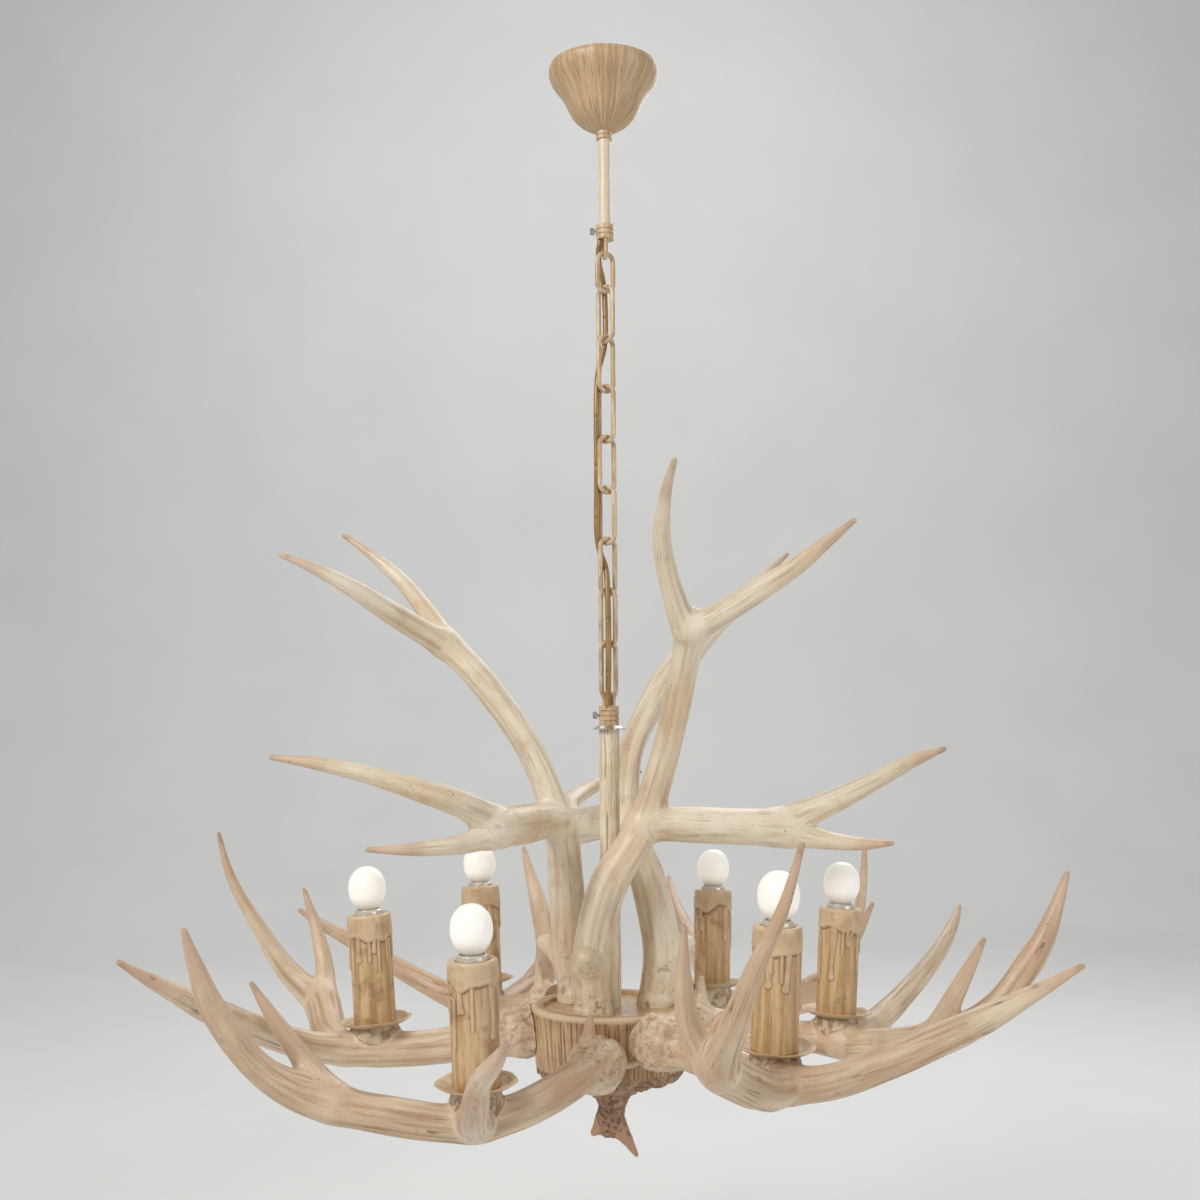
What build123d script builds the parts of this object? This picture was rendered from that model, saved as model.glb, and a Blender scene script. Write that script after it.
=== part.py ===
from build123d import *

import math
import os

# Antler chandelier with six candle lamps, hung from a ceiling canopy on a stem and a chain.
# Millimetres. The origin is on the ceiling plane, on the axis of the fixture, with +Z up, so the
# whole lamp hangs below z = 0. Seen from the front, +X is to the right and +Y is away.

# ---------------------------------------------------------------- ceiling end
canopy_r = 57.0
canopy_wall = 1.5
canopy_lip_flat = 3.0
canopy_profile = [(57.0, -4.5), (54.0, -16.0), (45.5, -28.0), (39.0, -40.0), (32.0, -53.0), (17.0, -65.0)]
canopy_bottom_z = -69.0
canopy_bottom_r = 9.0
bar_length = 98.0
bar_width = 18.0
bar_thick = 2.5
bar_foot = 17.0
bar_drop = 22.0
bar_middle = 40.0
bar_hole_pitch = 82.0
bar_hole_r = 2.3
nipple_r = 5.0
nipple_bore_r = 3.6
nipple_bottom_z = -84.0
nut_thick = 5.0
nut_across_flats = 17.0
block_size = (24.0, 14.0, 10.0)

# ---------------------------------------------------------------- stem
stem_r = 6.1
stem_wall = 0.8
stem_top_z = -56.0
stem_end_z = -176.5
canopy_collar_r = 8.2
canopy_collar_height = 8.0
stem_collar_r = 9.2
stem_collar_top_z = -168.5
stem_collar_height = 14.9
stem_collar_floor = 2.4
collar_groove = 0.9
cord_notch_x = -4.3
cord_notch_r = 4.0
eye_wire_r = 2.2
eye_leg_y = 5.5
eye_azimuth = 10.0
eye_bottom_z = -202.3

# ---------------------------------------------------------------- set screws
screw_r = 1.5
screw_head_r = 3.8
screw_head_length = 4.5
screw_neck = 1.6
stem_screw_z = -174.5
column_screw_z = -670.2
column_screw_tip = 6.6

# ---------------------------------------------------------------- chain
link_wire_r = 2.4
link_half_width = 8.9
link_straight = 39.3
first_link_straight = 22.55
link_count = 9
link_gap = 0.3
first_link_azimuth = 25.0
odd_link_azimuth = 36.0
even_link_azimuth = 144.0

# ---------------------------------------------------------------- lamp cord
cord_r = 2.9
cord_points = [
    (0.0, 0.0, -17.0),
    (0.0, 0.0, -171.0),
    (-5.8, 0.2, -187.5),
    (-7.4, 4.6, -202.0),
    (-1.0, 9.2, -228.0),
    (0.2, 9.4, -262.0),
    (-0.4, 9.3, -292.0),
    (-6.8, 6.6, -313.0),
    (-10.0, 0.3, -336.0),
    (-10.3, -0.3, -385.0),
    (-10.0, 0.4, -440.0),
    (-11.3, 0.9, -498.0),
    (-1.4, 0.2, -521.0),
    (-0.4, -9.2, -545.0),
    (0.3, -9.5, -600.0),
    (-0.5, -9.2, -650.0),
    (-1.8, -5.6, -668.0),
    (-0.2, -0.9, -730.0),
    (0.0, 0.0, -800.0),
    (-0.1, 0.1, -974.8),
]

# ---------------------------------------------------------------- column
loop_leg = 5.2
loop_leg_end_z = -672.0
column_collar_r = 10.0
column_collar_top_z = -661.3
column_collar_height = 19.7
column_r = 10.2
column_wall = 1.5
column_end_z = -974.0
spigot_length = 16.0
washer_r = 16.0
washer_thick = 2.0
column_nut_flats = 30.0
column_nut_thick = 6.0

# ---------------------------------------------------------------- hub
hub_top_z = -951.0
hub_height = 57.0
hub_top_r = 79.0
hub_bottom_r = 74.5
hub_wall = 5.0
cavity_draw = 2.0
cut_reach = 60.0
rim_width = 13.5
rim_round = 3.0
ledge_width = 5.0
plate_recess = 4.0
plate_thick = 3.0
root_height = 40.0
root_neck_r = 13.0
stud_r = 3.0
connector_r = 18.0
connector_height = 14.0

# ---------------------------------------------------------------- arms and candles
arm_bore_gap = 0.2
pipe_r = 5.0
pipe_wall = 1.6
pipe_inner_x = 42.0
pipe_stop = 20.0
pipe_nut_flats = 15.0
pipe_nut_thick = 5.0
wire_r = 1.5
wire_bend_r = 8.0
candle_lean = 4.0
boss_top_r = 20.0
boss_low_r = 17.0
pan_r = 35.0
pan_thick = 2.0
pan_lip = 5.0
candle_r = 20.5
candle_top_r = 22.5
candle_height = 104.0
candle_bore_r = 14.0
candle_floor = 6.0
socket_r = 13.5
socket_depth = 50.0
socket_bore_r = 7.2
socket_bore_depth = 30.0
socket_collar_height = 4.0
bulb_cap_r = 6.8
bulb_cap_length = 26.0
bulb_r = 18.0
bulb_height = 44.0
rod_r = 5.0
rod_wall = 1.6
candle_nut_thick = 6.0
seat_gap = 0.3
antler_bolt_r = 4.0
antler_bolt_depth = 26.0
antler_bolt_head_r = 6.5
antler_bolt_head = 5.0

station_step = 16.0
tip_share = 0.96

# Antler shapes. A lower antler is drawn as if its arm pointed along +X, x outward from the
# fixture's axis, y sideways, z above the middle of the hub; the fourth number is the radius
# there. An upper antler is drawn the same way, with z above the hub's top plate.
fork_antler = {
    "beam": [
        (72, -3, 3, 24), (84, -3, 3, 26.5), (94, -2, 2, 25.5), (104, 1, 0, 20.5), (122, 6, -2, 18),
        (163, 11, -7, 17), (210, 12, -10, 16), (259, 15, -9, 15), (297, 32, 0, 14), (336, 66, 22, 13.5),
        (370, 110, 48, 11.5), (401, 143, 73, 7), (430, 169, 97, 2.5),
    ],
    "stem": [(258, 12, -9, 14), (278, -30, -7, 17), (291, -72, 9, 17), (301, -97, 24, 14)],
    "near_tine": [(294, -84, 14, 12), (299, -116, 48, 9.5), (311, -131, 88, 6.5), (326, -141, 128, 2.2)],
    "far_tine": [
        (300, -90, 18, 14), (336, -106, 48, 11.5), (370, -110, 97, 7.5), (396, -103, 145, 4.8),
        (408, -95, 191, 2.2),
    ],
    "snag": [(134, 10, 4, 10), (143, 16, 20, 8), (152, 22, 34, 3.5)],
}
hook_antler = {
    "beam": [
        (72, 20, 0, 23), (82, 21, 0, 25), (92, 22, -1, 24.5), (103, 24, -2, 19.5), (122, 25, -5, 16.5),
        (163, 26, -12, 16), (208, 18, -20, 15.5), (243, -3, -24, 15), (277, -52, -17, 15.5),
        (313, -103, -3, 15.5), (352, -131, 25, 12.5), (391, -142, 74, 11), (412, -142, 111, 6.8),
        (426, -141, 141, 2.5),
    ],
    "brow": [
        (236, 0, -22, 14.5), (273, 28, -15, 13.5), (319, 64, 7, 11.5), (370, 108, 40, 9), (400, 145, 64, 6),
        (415, 166, 80, 2.5),
    ],
    "middle_tine": [(304, -92, -6, 13.5), (312, -122, 27, 9.5), (325, -145, 61, 6.2), (339, -157, 90, 2.2)],
    "snag": [(100, 22, 12, 9), (102, 24, 28, 6.5), (104, 27, 44, 3)],
}
crown_antler = {
    "beam": [
        (45, -10, -8, 16), (48, -10, 12, 17), (55, -10, 58, 18.5), (50, 5, 121, 18), (42, 37, 178, 16),
        (60, 62, 250, 13.5), (104, 81, 318, 14), (144, 93, 358, 13.5),
    ],
    "long_tine": [
        (141, 98, 355, 12.5), (165, 146, 380, 11), (184, 186, 401, 8.5), (208, 215, 419, 5.5),
        (232, 236, 431, 2.4),
    ],
    "top_tine": [
        (143, 85, 356, 12.5), (175, 74, 390, 10), (207, 69, 422, 8.5), (244, 74, 454, 5.5),
        (275, 84, 477, 2.4),
    ],
    "branch": [(42, 37, 180, 15), (38, 82, 180, 17.5), (33, 131, 178, 18), (31, 178, 176, 17)],
    "high_prong": [
        (31, 168, 180, 14), (46, 222, 201, 11.5), (93, 265, 221, 8.2), (136, 291, 233, 6.2),
        (174, 311, 239, 2.4),
    ],
    "low_prong": [(31, 170, 173, 12.5), (40, 213, 164, 8.8), (68, 246, 160, 5.8), (100, 271, 160, 2.2)],
    "brow_stub": [(58, -11, 46, 13), (74, -12, 52, 11), (84, -12, 56, 8)],
}

# Pivot of each kind's small hand-set turn, then one entry per antler: its name, its shape, its
# azimuth, its turn in degrees about (x, y, z) and its shift along (x, y, z).
lower_pivot = (85.0, 0.0, -16.0)
upper_pivot = (48.0, 0.0, 0.0)
lower_antlers = [
    ("lower_antler_right", hook_antler, 4.0, (-1, -3, -1), (-8, 6, 0)),
    ("lower_antler_back_right", fork_antler, 64.0, (8, 2, -4), (0, 0, 0)),
    ("lower_antler_back_left", hook_antler, 124.0, (1, 1, -1), (0, -6, 11)),
    ("lower_antler_left", fork_antler, 184.0, (1, 0, -2), (-2, -2, 0)),
    ("lower_antler_front_left", hook_antler, 244.0, (1, -2, -7), (5, 8, -9)),
    ("lower_antler_front_right", fork_antler, 304.0, (-3, -2, -3), (0, -2, 4)),
]
upper_antlers = [
    ("upper_antler_left", 145.0, (2, 1, 8), (-1, 4, 0)),
    ("upper_antler_front", 265.0, (0, -6, -1), (-2, -4, 0)),
    ("upper_antler_back", 25.0, (-4, 0, -4), (-2, 1, 0)),
]
# Where each lamp stands on its arm (x, y, z under its drip pan), where the wiring pipe starts
# inside the hub (y, z), and the height of the middle of the antler under the lamp.
lamp_seats = {
    "lower_antler_right": (235.0, 12.0, 1.5),
    "lower_antler_back_right": (238.0, 3.0, 14.0),
    "lower_antler_back_left": (240.0, 17.0, 7.0),
    "lower_antler_left": (230.5, 8.0, 13.0),
    "lower_antler_front_left": (239.0, 4.0, 5.0),
    "lower_antler_front_right": (238.0, 12.0, 15.0),
}
pipe_start = {"fork": (-2.0, -1.0), "hook": (22.0, -4.0)}
beam_middle_z = {"fork": -10.0, "hook": -22.0}

# ---------------------------------------------------------------- worked-out heights
hub_middle_z = hub_top_z - hub_height / 2
hub_bottom_z = hub_top_z - hub_height
plate_top_z = hub_top_z - plate_recess
plate_bottom_z = plate_top_z - plate_thick
plate_r = hub_top_r - rim_width - arm_bore_gap
link_bow = 2 * link_wire_r + link_gap

os.makedirs("parts", exist_ok=True)
written = []


def save(builder, name):
    """Label a finished piece and write its STEP file."""
    builder.part.label = name
    export_step(builder.part, f"parts/{name}.step")
    written.append(name)


def tangents(points):
    """Unit direction of a line of points at each point."""
    out = []
    for i in range(len(points)):
        a = points[max(i - 1, 0)]
        b = points[min(i + 1, len(points) - 1)]
        out.append((Vector(*b[:3]) - Vector(*a[:3])).normalized())
    return out


def between(a, b, c, d, t):
    """A smooth value between b and c, with a and d as their neighbours."""
    square = 2 * a - 5 * b + 4 * c - d
    cube = 3 * b - a - 3 * c + d
    return 0.5 * (2 * b + (c - a) * t + square * t**2 + cube * t**3)


def stations(points):
    """Evenly spaced points along a branch, with the radius at each."""
    out = []
    last = len(points) - 1
    for i in range(last):
        near = [points[max(i - 1, 0)], points[i], points[i + 1], points[min(i + 2, last)]]
        length = (Vector(*points[i + 1][:3]) - Vector(*points[i][:3])).length
        steps = max(1, round(length / station_step))
        for k in range(steps):
            out.append(tuple(between(*(p[axis] for p in near), k / steps) for axis in range(4)))
    out.append(points[-1])
    return out


def branch_solid(points):
    """One branch of an antler: a loft through circles along its line, with a rounded tip."""
    side = Vector(0.31, 0.17, 0.93)
    line = stations(points)
    with BuildPart() as one:
        for point, along in zip(line, tangents(line)):
            side = (side - along * side.dot(along)).normalized()
            with BuildSketch(Plane(origin=point[:3], x_dir=side, z_dir=along)):
                Circle(point[3])
        loft()
        with Locations(line[-1][:3]):
            Sphere(line[-1][3] * tip_share)
    return one.part


def arm_location(azimuth, turn, shift, pivot, level):
    """Where a piece drawn along +X stands: turned about its pivot, shifted, then swung round."""
    swing = Location((0, 0, level), (0, 0, azimuth))
    turned = Location(tuple(p + s for p, s in zip(pivot, shift)), turn)
    return swing * turned * Location(tuple(-p for p in pivot))


def hex_nut(flats, thick, bore):
    """A nut lying on z = 0."""
    with BuildPart() as nut:
        with BuildSketch():
            RegularPolygon(flats / 2, 6, major_radius=False)
            Circle(bore, mode=Mode.SUBTRACT)
        extrude(amount=thick)
        chamfer(nut.edges().filter_by(GeomType.CIRCLE), 0.3)
    return nut.part


def ring(outer, inner, bottom, top):
    """A plain ring between two heights."""
    with BuildPart() as one:
        with BuildSketch(Plane.XY.offset(bottom)):
            Circle(outer)
            Circle(inner, mode=Mode.SUBTRACT)
        extrude(amount=top - bottom)
    return one.part


def grooved_collar(outer, top, height, grooves):
    """A solid collar whose outside has turned rings."""
    with BuildPart() as one:
        with BuildSketch(Plane.XY.offset(top - height)):
            Circle(outer)
        extrude(amount=height)
        for g in range(grooves):
            z = top - height * (g + 1) / (grooves + 1)
            with BuildSketch(Plane.XZ):
                with Locations((outer, z)):
                    Rectangle(2 * collar_groove, 1.2 * collar_groove)
            revolve(axis=Axis.Z, mode=Mode.SUBTRACT)
    return one.part


def wire_sweep(line_points, radii, r, closed=False):
    """A round wire along straight runs joined by arcs."""
    with BuildPart() as one:
        with BuildLine() as route:
            FilletPolyline(*line_points, radius=radii, close=closed)
        start = route.line @ 0
        along = route.line % 0
        with BuildSketch(Plane(origin=start, z_dir=along)):
            Circle(r)
        sweep()
    return one.part


# ================================================================ ceiling end
foot_x = bar_length / 2 - bar_foot
with BuildPart() as mounting_bar:
    with BuildSketch(Plane.XZ):
        with BuildLine():
            Polyline(
                (-bar_length / 2, 0), (-foot_x, 0), (-bar_middle / 2, -bar_drop),
                (bar_middle / 2, -bar_drop), (foot_x, 0), (bar_length / 2, 0),
                (bar_length / 2, -bar_thick), (foot_x - 1.0, -bar_thick),
                (bar_middle / 2 - 1.0, -bar_drop - bar_thick),
                (1.0 - bar_middle / 2, -bar_drop - bar_thick),
                (1.0 - foot_x, -bar_thick), (-bar_length / 2, -bar_thick), close=True,
            )
        make_face()
    extrude(amount=bar_width / 2, both=True)
    with Locations((bar_hole_pitch / 2, 0, 0), (-bar_hole_pitch / 2, 0, 0)):
        Cylinder(bar_hole_r, 4 * bar_thick, mode=Mode.SUBTRACT)
    with Locations((0, 0, -bar_drop)):
        Cylinder(nipple_r + 0.1, 4 * bar_thick, mode=Mode.SUBTRACT)
save(mounting_bar, "mounting_bar")

upper_nut_top = -bar_drop + nut_thick
with BuildPart() as hanger_nipple:
    add(ring(nipple_r, nipple_bore_r, nipple_bottom_z, upper_nut_top))
save(hanger_nipple, "hanger_nipple")

with BuildPart() as hanger_nuts:
    with Locations((0, 0, -bar_drop), (0, 0, -bar_drop - bar_thick - nut_thick)):
        add(hex_nut(nut_across_flats, nut_thick, nipple_r + 0.05))
save(hanger_nuts, "hanger_nuts")

with BuildPart() as terminal_block:
    with Locations((0, 0, upper_nut_top + block_size[2] / 2)):
        Box(*block_size)
    fillet(terminal_block.edges().filter_by(Axis.Z), 1.5)
    with Locations((-6, 0, upper_nut_top + block_size[2]), (6, 0, upper_nut_top + block_size[2])):
        Cylinder(2.2, 6.0, mode=Mode.SUBTRACT)
save(terminal_block, "terminal_block")


def offset_profile(points, wall):
    """The points of a profile moved inward, square to it, by the wall."""
    out = []
    for (r, z), along in zip(points, tangents([(r, z, 0) for r, z in points])):
        out.append((r + along.Y * wall, z - along.X * wall))
    return out


outer_line = canopy_profile + [(canopy_bottom_r, canopy_bottom_z)]
inner_line = offset_profile(outer_line, canopy_wall)
with BuildPart() as canopy:
    with BuildSketch(Plane.XZ):
        with BuildLine():
            Polyline((canopy_r - canopy_lip_flat, 0), (canopy_r - 1.0, -0.6), outer_line[0])
            Spline(*outer_line)
            Polyline(
                outer_line[-1], (stem_r + seat_gap, canopy_bottom_z),
                (stem_r + seat_gap, canopy_bottom_z + canopy_wall), inner_line[-1],
            )
            Spline(*reversed(inner_line))
            Polyline(
                inner_line[0], (canopy_r - canopy_lip_flat - canopy_wall, -canopy_wall),
                (canopy_r - canopy_lip_flat - canopy_wall, 0), (canopy_r - canopy_lip_flat, 0),
            )
        make_face()
    revolve(axis=Axis.Z)
save(canopy, "canopy")

with BuildPart() as canopy_collar:
    add(grooved_collar(canopy_collar_r, canopy_bottom_z, canopy_collar_height, 1))
    with Locations((0, 0, canopy_bottom_z)):
        Cylinder(stem_r + seat_gap, 4 * canopy_collar_height, mode=Mode.SUBTRACT)
save(canopy_collar, "canopy_collar")

# ================================================================ stem
with BuildPart() as stem_tube:
    add(ring(stem_r, stem_r - stem_wall, stem_end_z, stem_top_z))
save(stem_tube, "stem_tube")

stem_collar_bottom_z = stem_collar_top_z - stem_collar_height
with BuildPart() as stem_collar:
    add(grooved_collar(stem_collar_r, stem_collar_top_z, stem_collar_height, 2))
    with Locations((0, 0, stem_end_z)):
        Cylinder(stem_r + 0.05, 40.0, align=(Align.CENTER, Align.CENTER, Align.MIN), mode=Mode.SUBTRACT)
    with Locations((0, 0, stem_collar_bottom_z + stem_collar_floor)):
        Cylinder(
            stem_r + 1.0, stem_end_z - stem_collar_bottom_z - stem_collar_floor,
            align=(Align.CENTER, Align.CENTER, Align.MIN), mode=Mode.SUBTRACT,
        )
    with BuildSketch(Plane.XY.offset(stem_collar_bottom_z)):
        with Locations((cord_notch_x, 0)):
            Circle(cord_notch_r)
        with Locations((cord_notch_x - stem_collar_r / 2, 0)):
            Rectangle(stem_collar_r, 2 * cord_notch_r)
    extrude(amount=stem_collar_floor + 2.0, mode=Mode.SUBTRACT)
    with Locations(Location((0, 0, stem_collar_bottom_z), (0, 0, eye_azimuth))):
        with Locations((0, eye_leg_y), (0, -eye_leg_y)):
            Cylinder(eye_wire_r + 0.05, 3 * stem_collar_floor, mode=Mode.SUBTRACT)
    with Locations(Plane(origin=(-stem_r, 0, stem_screw_z), z_dir=(-1, 0, 0))):
        Cylinder(screw_r + 0.08, 10.0, align=(Align.CENTER, Align.CENTER, Align.MIN), mode=Mode.SUBTRACT)
save(stem_collar, "stem_collar")


def set_screw(tip_x, seat_x, z):
    """A little thumb screw lying along -X, its tip inside and its head outside."""
    with BuildPart() as one:
        with BuildSketch(Plane(origin=(-tip_x, 0, z), z_dir=(-1, 0, 0))):
            Circle(screw_r)
        extrude(amount=seat_x + screw_neck - tip_x)
        with BuildSketch(Plane(origin=(-seat_x - screw_neck, 0, z), z_dir=(-1, 0, 0))):
            Circle(screw_head_r)
        extrude(amount=screw_head_length)
        chamfer(one.faces().sort_by(Axis.X)[0].edges(), 0.8)
    return one.part


with BuildPart() as stem_set_screw:
    add(set_screw(stem_r + 0.1, stem_collar_r, stem_screw_z))
save(stem_set_screw, "stem_set_screw")

eye_leg_top = stem_collar_bottom_z + stem_collar_floor
eye_line = [
    (0, -eye_leg_y, eye_leg_top), (0, -eye_leg_y, eye_bottom_z), (0, eye_leg_y, eye_bottom_z),
    (0, eye_leg_y, eye_leg_top),
]
with BuildPart() as stem_eye:
    with Locations(Location((0, 0, 0), (0, 0, eye_azimuth))):
        add(wire_sweep(eye_line, [eye_leg_y * 0.98, eye_leg_y * 0.98], eye_wire_r))
save(stem_eye, "stem_eye")

# ================================================================ chain
link_azimuths = [first_link_azimuth]
for k in range(2, link_count + 1):
    link_azimuths.append(even_link_azimuth if k % 2 == 0 else odd_link_azimuth)
link_top = eye_bottom_z + eye_wire_r + link_wire_r + link_gap
pivots = [eye_bottom_z]
for k in range(link_count):
    straight = first_link_straight if k == 0 else link_straight
    middle = link_top - link_half_width - straight / 2
    with BuildPart() as chain_link:
        with BuildSketch(Plane((0, 0, middle), x_dir=(1, 0, 0), z_dir=(0, -1, 0))):
            SlotCenterToCenter(straight, 2 * (link_half_width + link_wire_r), rotation=90)
            SlotCenterToCenter(
                straight, 2 * (link_half_width - link_wire_r), rotation=90, mode=Mode.SUBTRACT,
            )
        extrude(amount=link_wire_r, both=True)
        fillet(chain_link.edges(), link_wire_r * 0.96)
    with BuildPart() as placed_link:
        with Locations(Location((0, 0, 0), (0, 0, link_azimuths[k]))):
            add(chain_link.part)
    save(placed_link, f"chain_link_{k + 1}")
    pivots.append(middle - straight / 2 - link_half_width)
    link_top = pivots[-1] + link_bow
loop_top = link_top

# ================================================================ lamp cord
cord_radii = []
for before, corner, after in zip(cord_points, cord_points[1:], cord_points[2:]):
    run_in = Vector(*corner) - Vector(*before)
    run_out = Vector(*after) - Vector(*corner)
    turn = math.radians(run_in.get_angle(run_out))
    cord_radii.append(0.45 * min(run_in.length, run_out.length) / math.tan(turn / 2))
print("cord bend radii", [round(r) for r in cord_radii])
with BuildPart() as lamp_cord:
    with BuildLine() as cord_route:
        FilletPolyline(*cord_points, radius=cord_radii)
    with BuildSketch(Plane(origin=cord_points[0], z_dir=(0, 0, -1))):
        Circle(cord_r)
    sweep()
cord_length = cord_route.wires()[0].length
cord_fill = lamp_cord.part.volume / (math.pi * cord_r**2 * cord_length)
print("cord length", round(cord_length), "volume ratio", round(cord_fill, 4))
save(lamp_cord, "lamp_cord")

# ================================================================ column
loop_turn = Location((0, 0, 0), (0, 0, even_link_azimuth))
loop_line = [
    (-loop_leg, 0, loop_leg_end_z), (-loop_leg, 0, loop_top), (loop_leg, 0, loop_top),
    (loop_leg, 0, loop_leg_end_z),
]
with BuildPart() as column_loop:
    with Locations(loop_turn):
        add(wire_sweep(loop_line, [loop_leg * 0.98, loop_leg * 0.98], link_wire_r))
save(column_loop, "column_loop")

collar_bottom_z = column_collar_top_z - column_collar_height
tube_top_z = collar_bottom_z - washer_thick
bore_from = Vector(*cord_points[15])
bore_to = Vector(*cord_points[17])
with BuildPart() as column_collar:
    add(grooved_collar(column_collar_r, column_collar_top_z, column_collar_height, 3))
    with BuildSketch(Plane.XY.offset(collar_bottom_z)):
        Circle(column_r - column_wall - arm_bore_gap)
    extrude(amount=-spigot_length)
    with Locations(loop_turn):
        with Locations((loop_leg, 0, loop_leg_end_z), (-loop_leg, 0, loop_leg_end_z)):
            Cylinder(
                link_wire_r + 0.05, 40.0, align=(Align.CENTER, Align.CENTER, Align.MIN), mode=Mode.SUBTRACT,
            )
    for a, b in ((15, 16), (16, 17)):
        start = Vector(*cord_points[a])
        run = Vector(*cord_points[b]) - start
        with Locations(Plane(origin=start, z_dir=run)):
            Cylinder(
                cord_r + 0.5, run.length + 1.0, align=(Align.CENTER, Align.CENTER, Align.MIN),
                mode=Mode.SUBTRACT,
            )
    with Locations(Plane(origin=(-column_screw_tip, 0, column_screw_z), z_dir=(-1, 0, 0))):
        Cylinder(screw_r + 0.08, 10.0, align=(Align.CENTER, Align.CENTER, Align.MIN), mode=Mode.SUBTRACT)
save(column_collar, "column_collar")

with BuildPart() as column_set_screw:
    add(set_screw(column_screw_tip + 0.1, column_collar_r, column_screw_z))
save(column_set_screw, "column_set_screw")

with BuildPart() as column_washer:
    with BuildSketch(Plane.XZ):
        with BuildLine():
            Polyline(
                (column_r - column_wall, tube_top_z), (washer_r - 3.0, tube_top_z),
                (washer_r, tube_top_z - 1.6), (washer_r, tube_top_z - 0.4), (washer_r - 3.0, collar_bottom_z),
                (column_r - column_wall, collar_bottom_z), close=True,
            )
        make_face()
    revolve(axis=Axis.Z)
save(column_washer, "column_washer")

with BuildPart() as column_tube:
    add(ring(column_r, column_r - column_wall, column_end_z, tube_top_z))
save(column_tube, "column_tube")

with BuildPart() as column_nut:
    with Locations((0, 0, plate_bottom_z - column_nut_thick)):
        add(hex_nut(column_nut_flats, column_nut_thick, column_r + 0.05))
save(column_nut, "column_nut")

# ================================================================ hub
ledge_r = plate_r + arm_bore_gap
cavity_top_z = plate_bottom_z - 3.0


def arm_frames():
    """Each lower antler with its place, its lamp's place and the two ends of its wiring bore."""
    frames = []
    for name, shape, azimuth, turn, shift in lower_antlers:
        kind = "fork" if shape is fork_antler else "hook"
        place = arm_location(azimuth, turn, shift, lower_pivot, hub_middle_z)
        seat = (place * Location(lamp_seats[name])).position
        lamp = Location(tuple(seat), (0, 0, azimuth)) * Location((0, 0, 0), (0, candle_lean, 0))
        drop = lamp_seats[name][2] - beam_middle_z[kind]
        inner = (place * Location((pipe_inner_x, *pipe_start[kind]))).position
        foot = (lamp * Location((0, 0, -drop))).position
        frames.append((name, shape, place, lamp, drop, inner, foot))
    return frames


arms = arm_frames()
with BuildPart() as hub_shell:
    with BuildSketch(Plane.XZ):
        with BuildLine():
            Polyline(
                (ledge_r, hub_top_z), (hub_top_r, hub_top_z), (hub_bottom_r, hub_bottom_z),
                (hub_bottom_r - hub_wall, hub_bottom_z), (hub_top_r - hub_wall - cavity_draw, cavity_top_z),
                (ledge_r - ledge_width, cavity_top_z), (ledge_r - ledge_width, plate_bottom_z),
                (ledge_r, plate_bottom_z), close=True,
            )
        make_face()
    revolve(axis=Axis.Z)
    fillet(hub_shell.edges().filter_by(GeomType.CIRCLE).group_by(Axis.Z)[-1], rim_round)
    for name, shape, place, lamp, drop, inner, foot in arms:
        with Locations(Plane(origin=inner, z_dir=foot - inner).location):
            Cylinder(
                pipe_r + 0.1, cut_reach, align=(Align.CENTER, Align.CENTER, Align.MIN),
                mode=Mode.SUBTRACT,
            )
save(hub_shell, "hub_shell")

bolt_locations = []
for name, azimuth, turn, shift in upper_antlers:
    swing = Location((0, 0, plate_top_z), (0, 0, azimuth))
    base = crown_antler["beam"][0]
    bolt_locations.append(swing * Location((base[0] + shift[0], base[1] + shift[1], 0)))

with BuildPart() as hub_top_plate:
    add(ring(plate_r, column_r + 0.1, plate_bottom_z, plate_top_z))
    with Locations(*bolt_locations):
        Cylinder(antler_bolt_r + 0.1, 4 * plate_thick, mode=Mode.SUBTRACT)
save(hub_top_plate, "hub_top_plate")

with BuildPart() as upper_antler_bolts:
    with Locations(*bolt_locations):
        with Locations((0, 0, -plate_thick)):
            Cylinder(
                antler_bolt_r, plate_thick + antler_bolt_depth, align=(Align.CENTER, Align.CENTER, Align.MIN),
            )
            Cylinder(antler_bolt_head_r, antler_bolt_head, align=(Align.CENTER, Align.CENTER, Align.MAX))
save(upper_antler_bolts, "upper_antler_bolts")

root_bottom_z = hub_bottom_z - root_height
with BuildPart() as hub_root:
    with BuildSketch(Plane.XZ):
        with BuildLine():
            Line((0, hub_bottom_z), (hub_bottom_r - 1.0, hub_bottom_z))
            Spline(
                (hub_bottom_r - 1.0, hub_bottom_z), (hub_bottom_r - 9.0, hub_bottom_z - 10.0),
                (hub_bottom_r - 32.0, hub_bottom_z - 17.0), (24.0, hub_bottom_z - 25.0),
                (root_neck_r, root_bottom_z),
            )
            Polyline((root_neck_r, root_bottom_z), (0, root_bottom_z), (0, hub_bottom_z))
        make_face()
    revolve(axis=Axis.Z)
    with Locations((0, 0, root_bottom_z)):
        Cylinder(stud_r + 0.1, root_height, mode=Mode.SUBTRACT)
save(hub_root, "hub_root")

with BuildPart() as finial_stud:
    with Locations((0, 0, root_bottom_z)):
        Cylinder(stud_r, root_height - 2.0)
save(finial_stud, "finial_stud")

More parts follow.
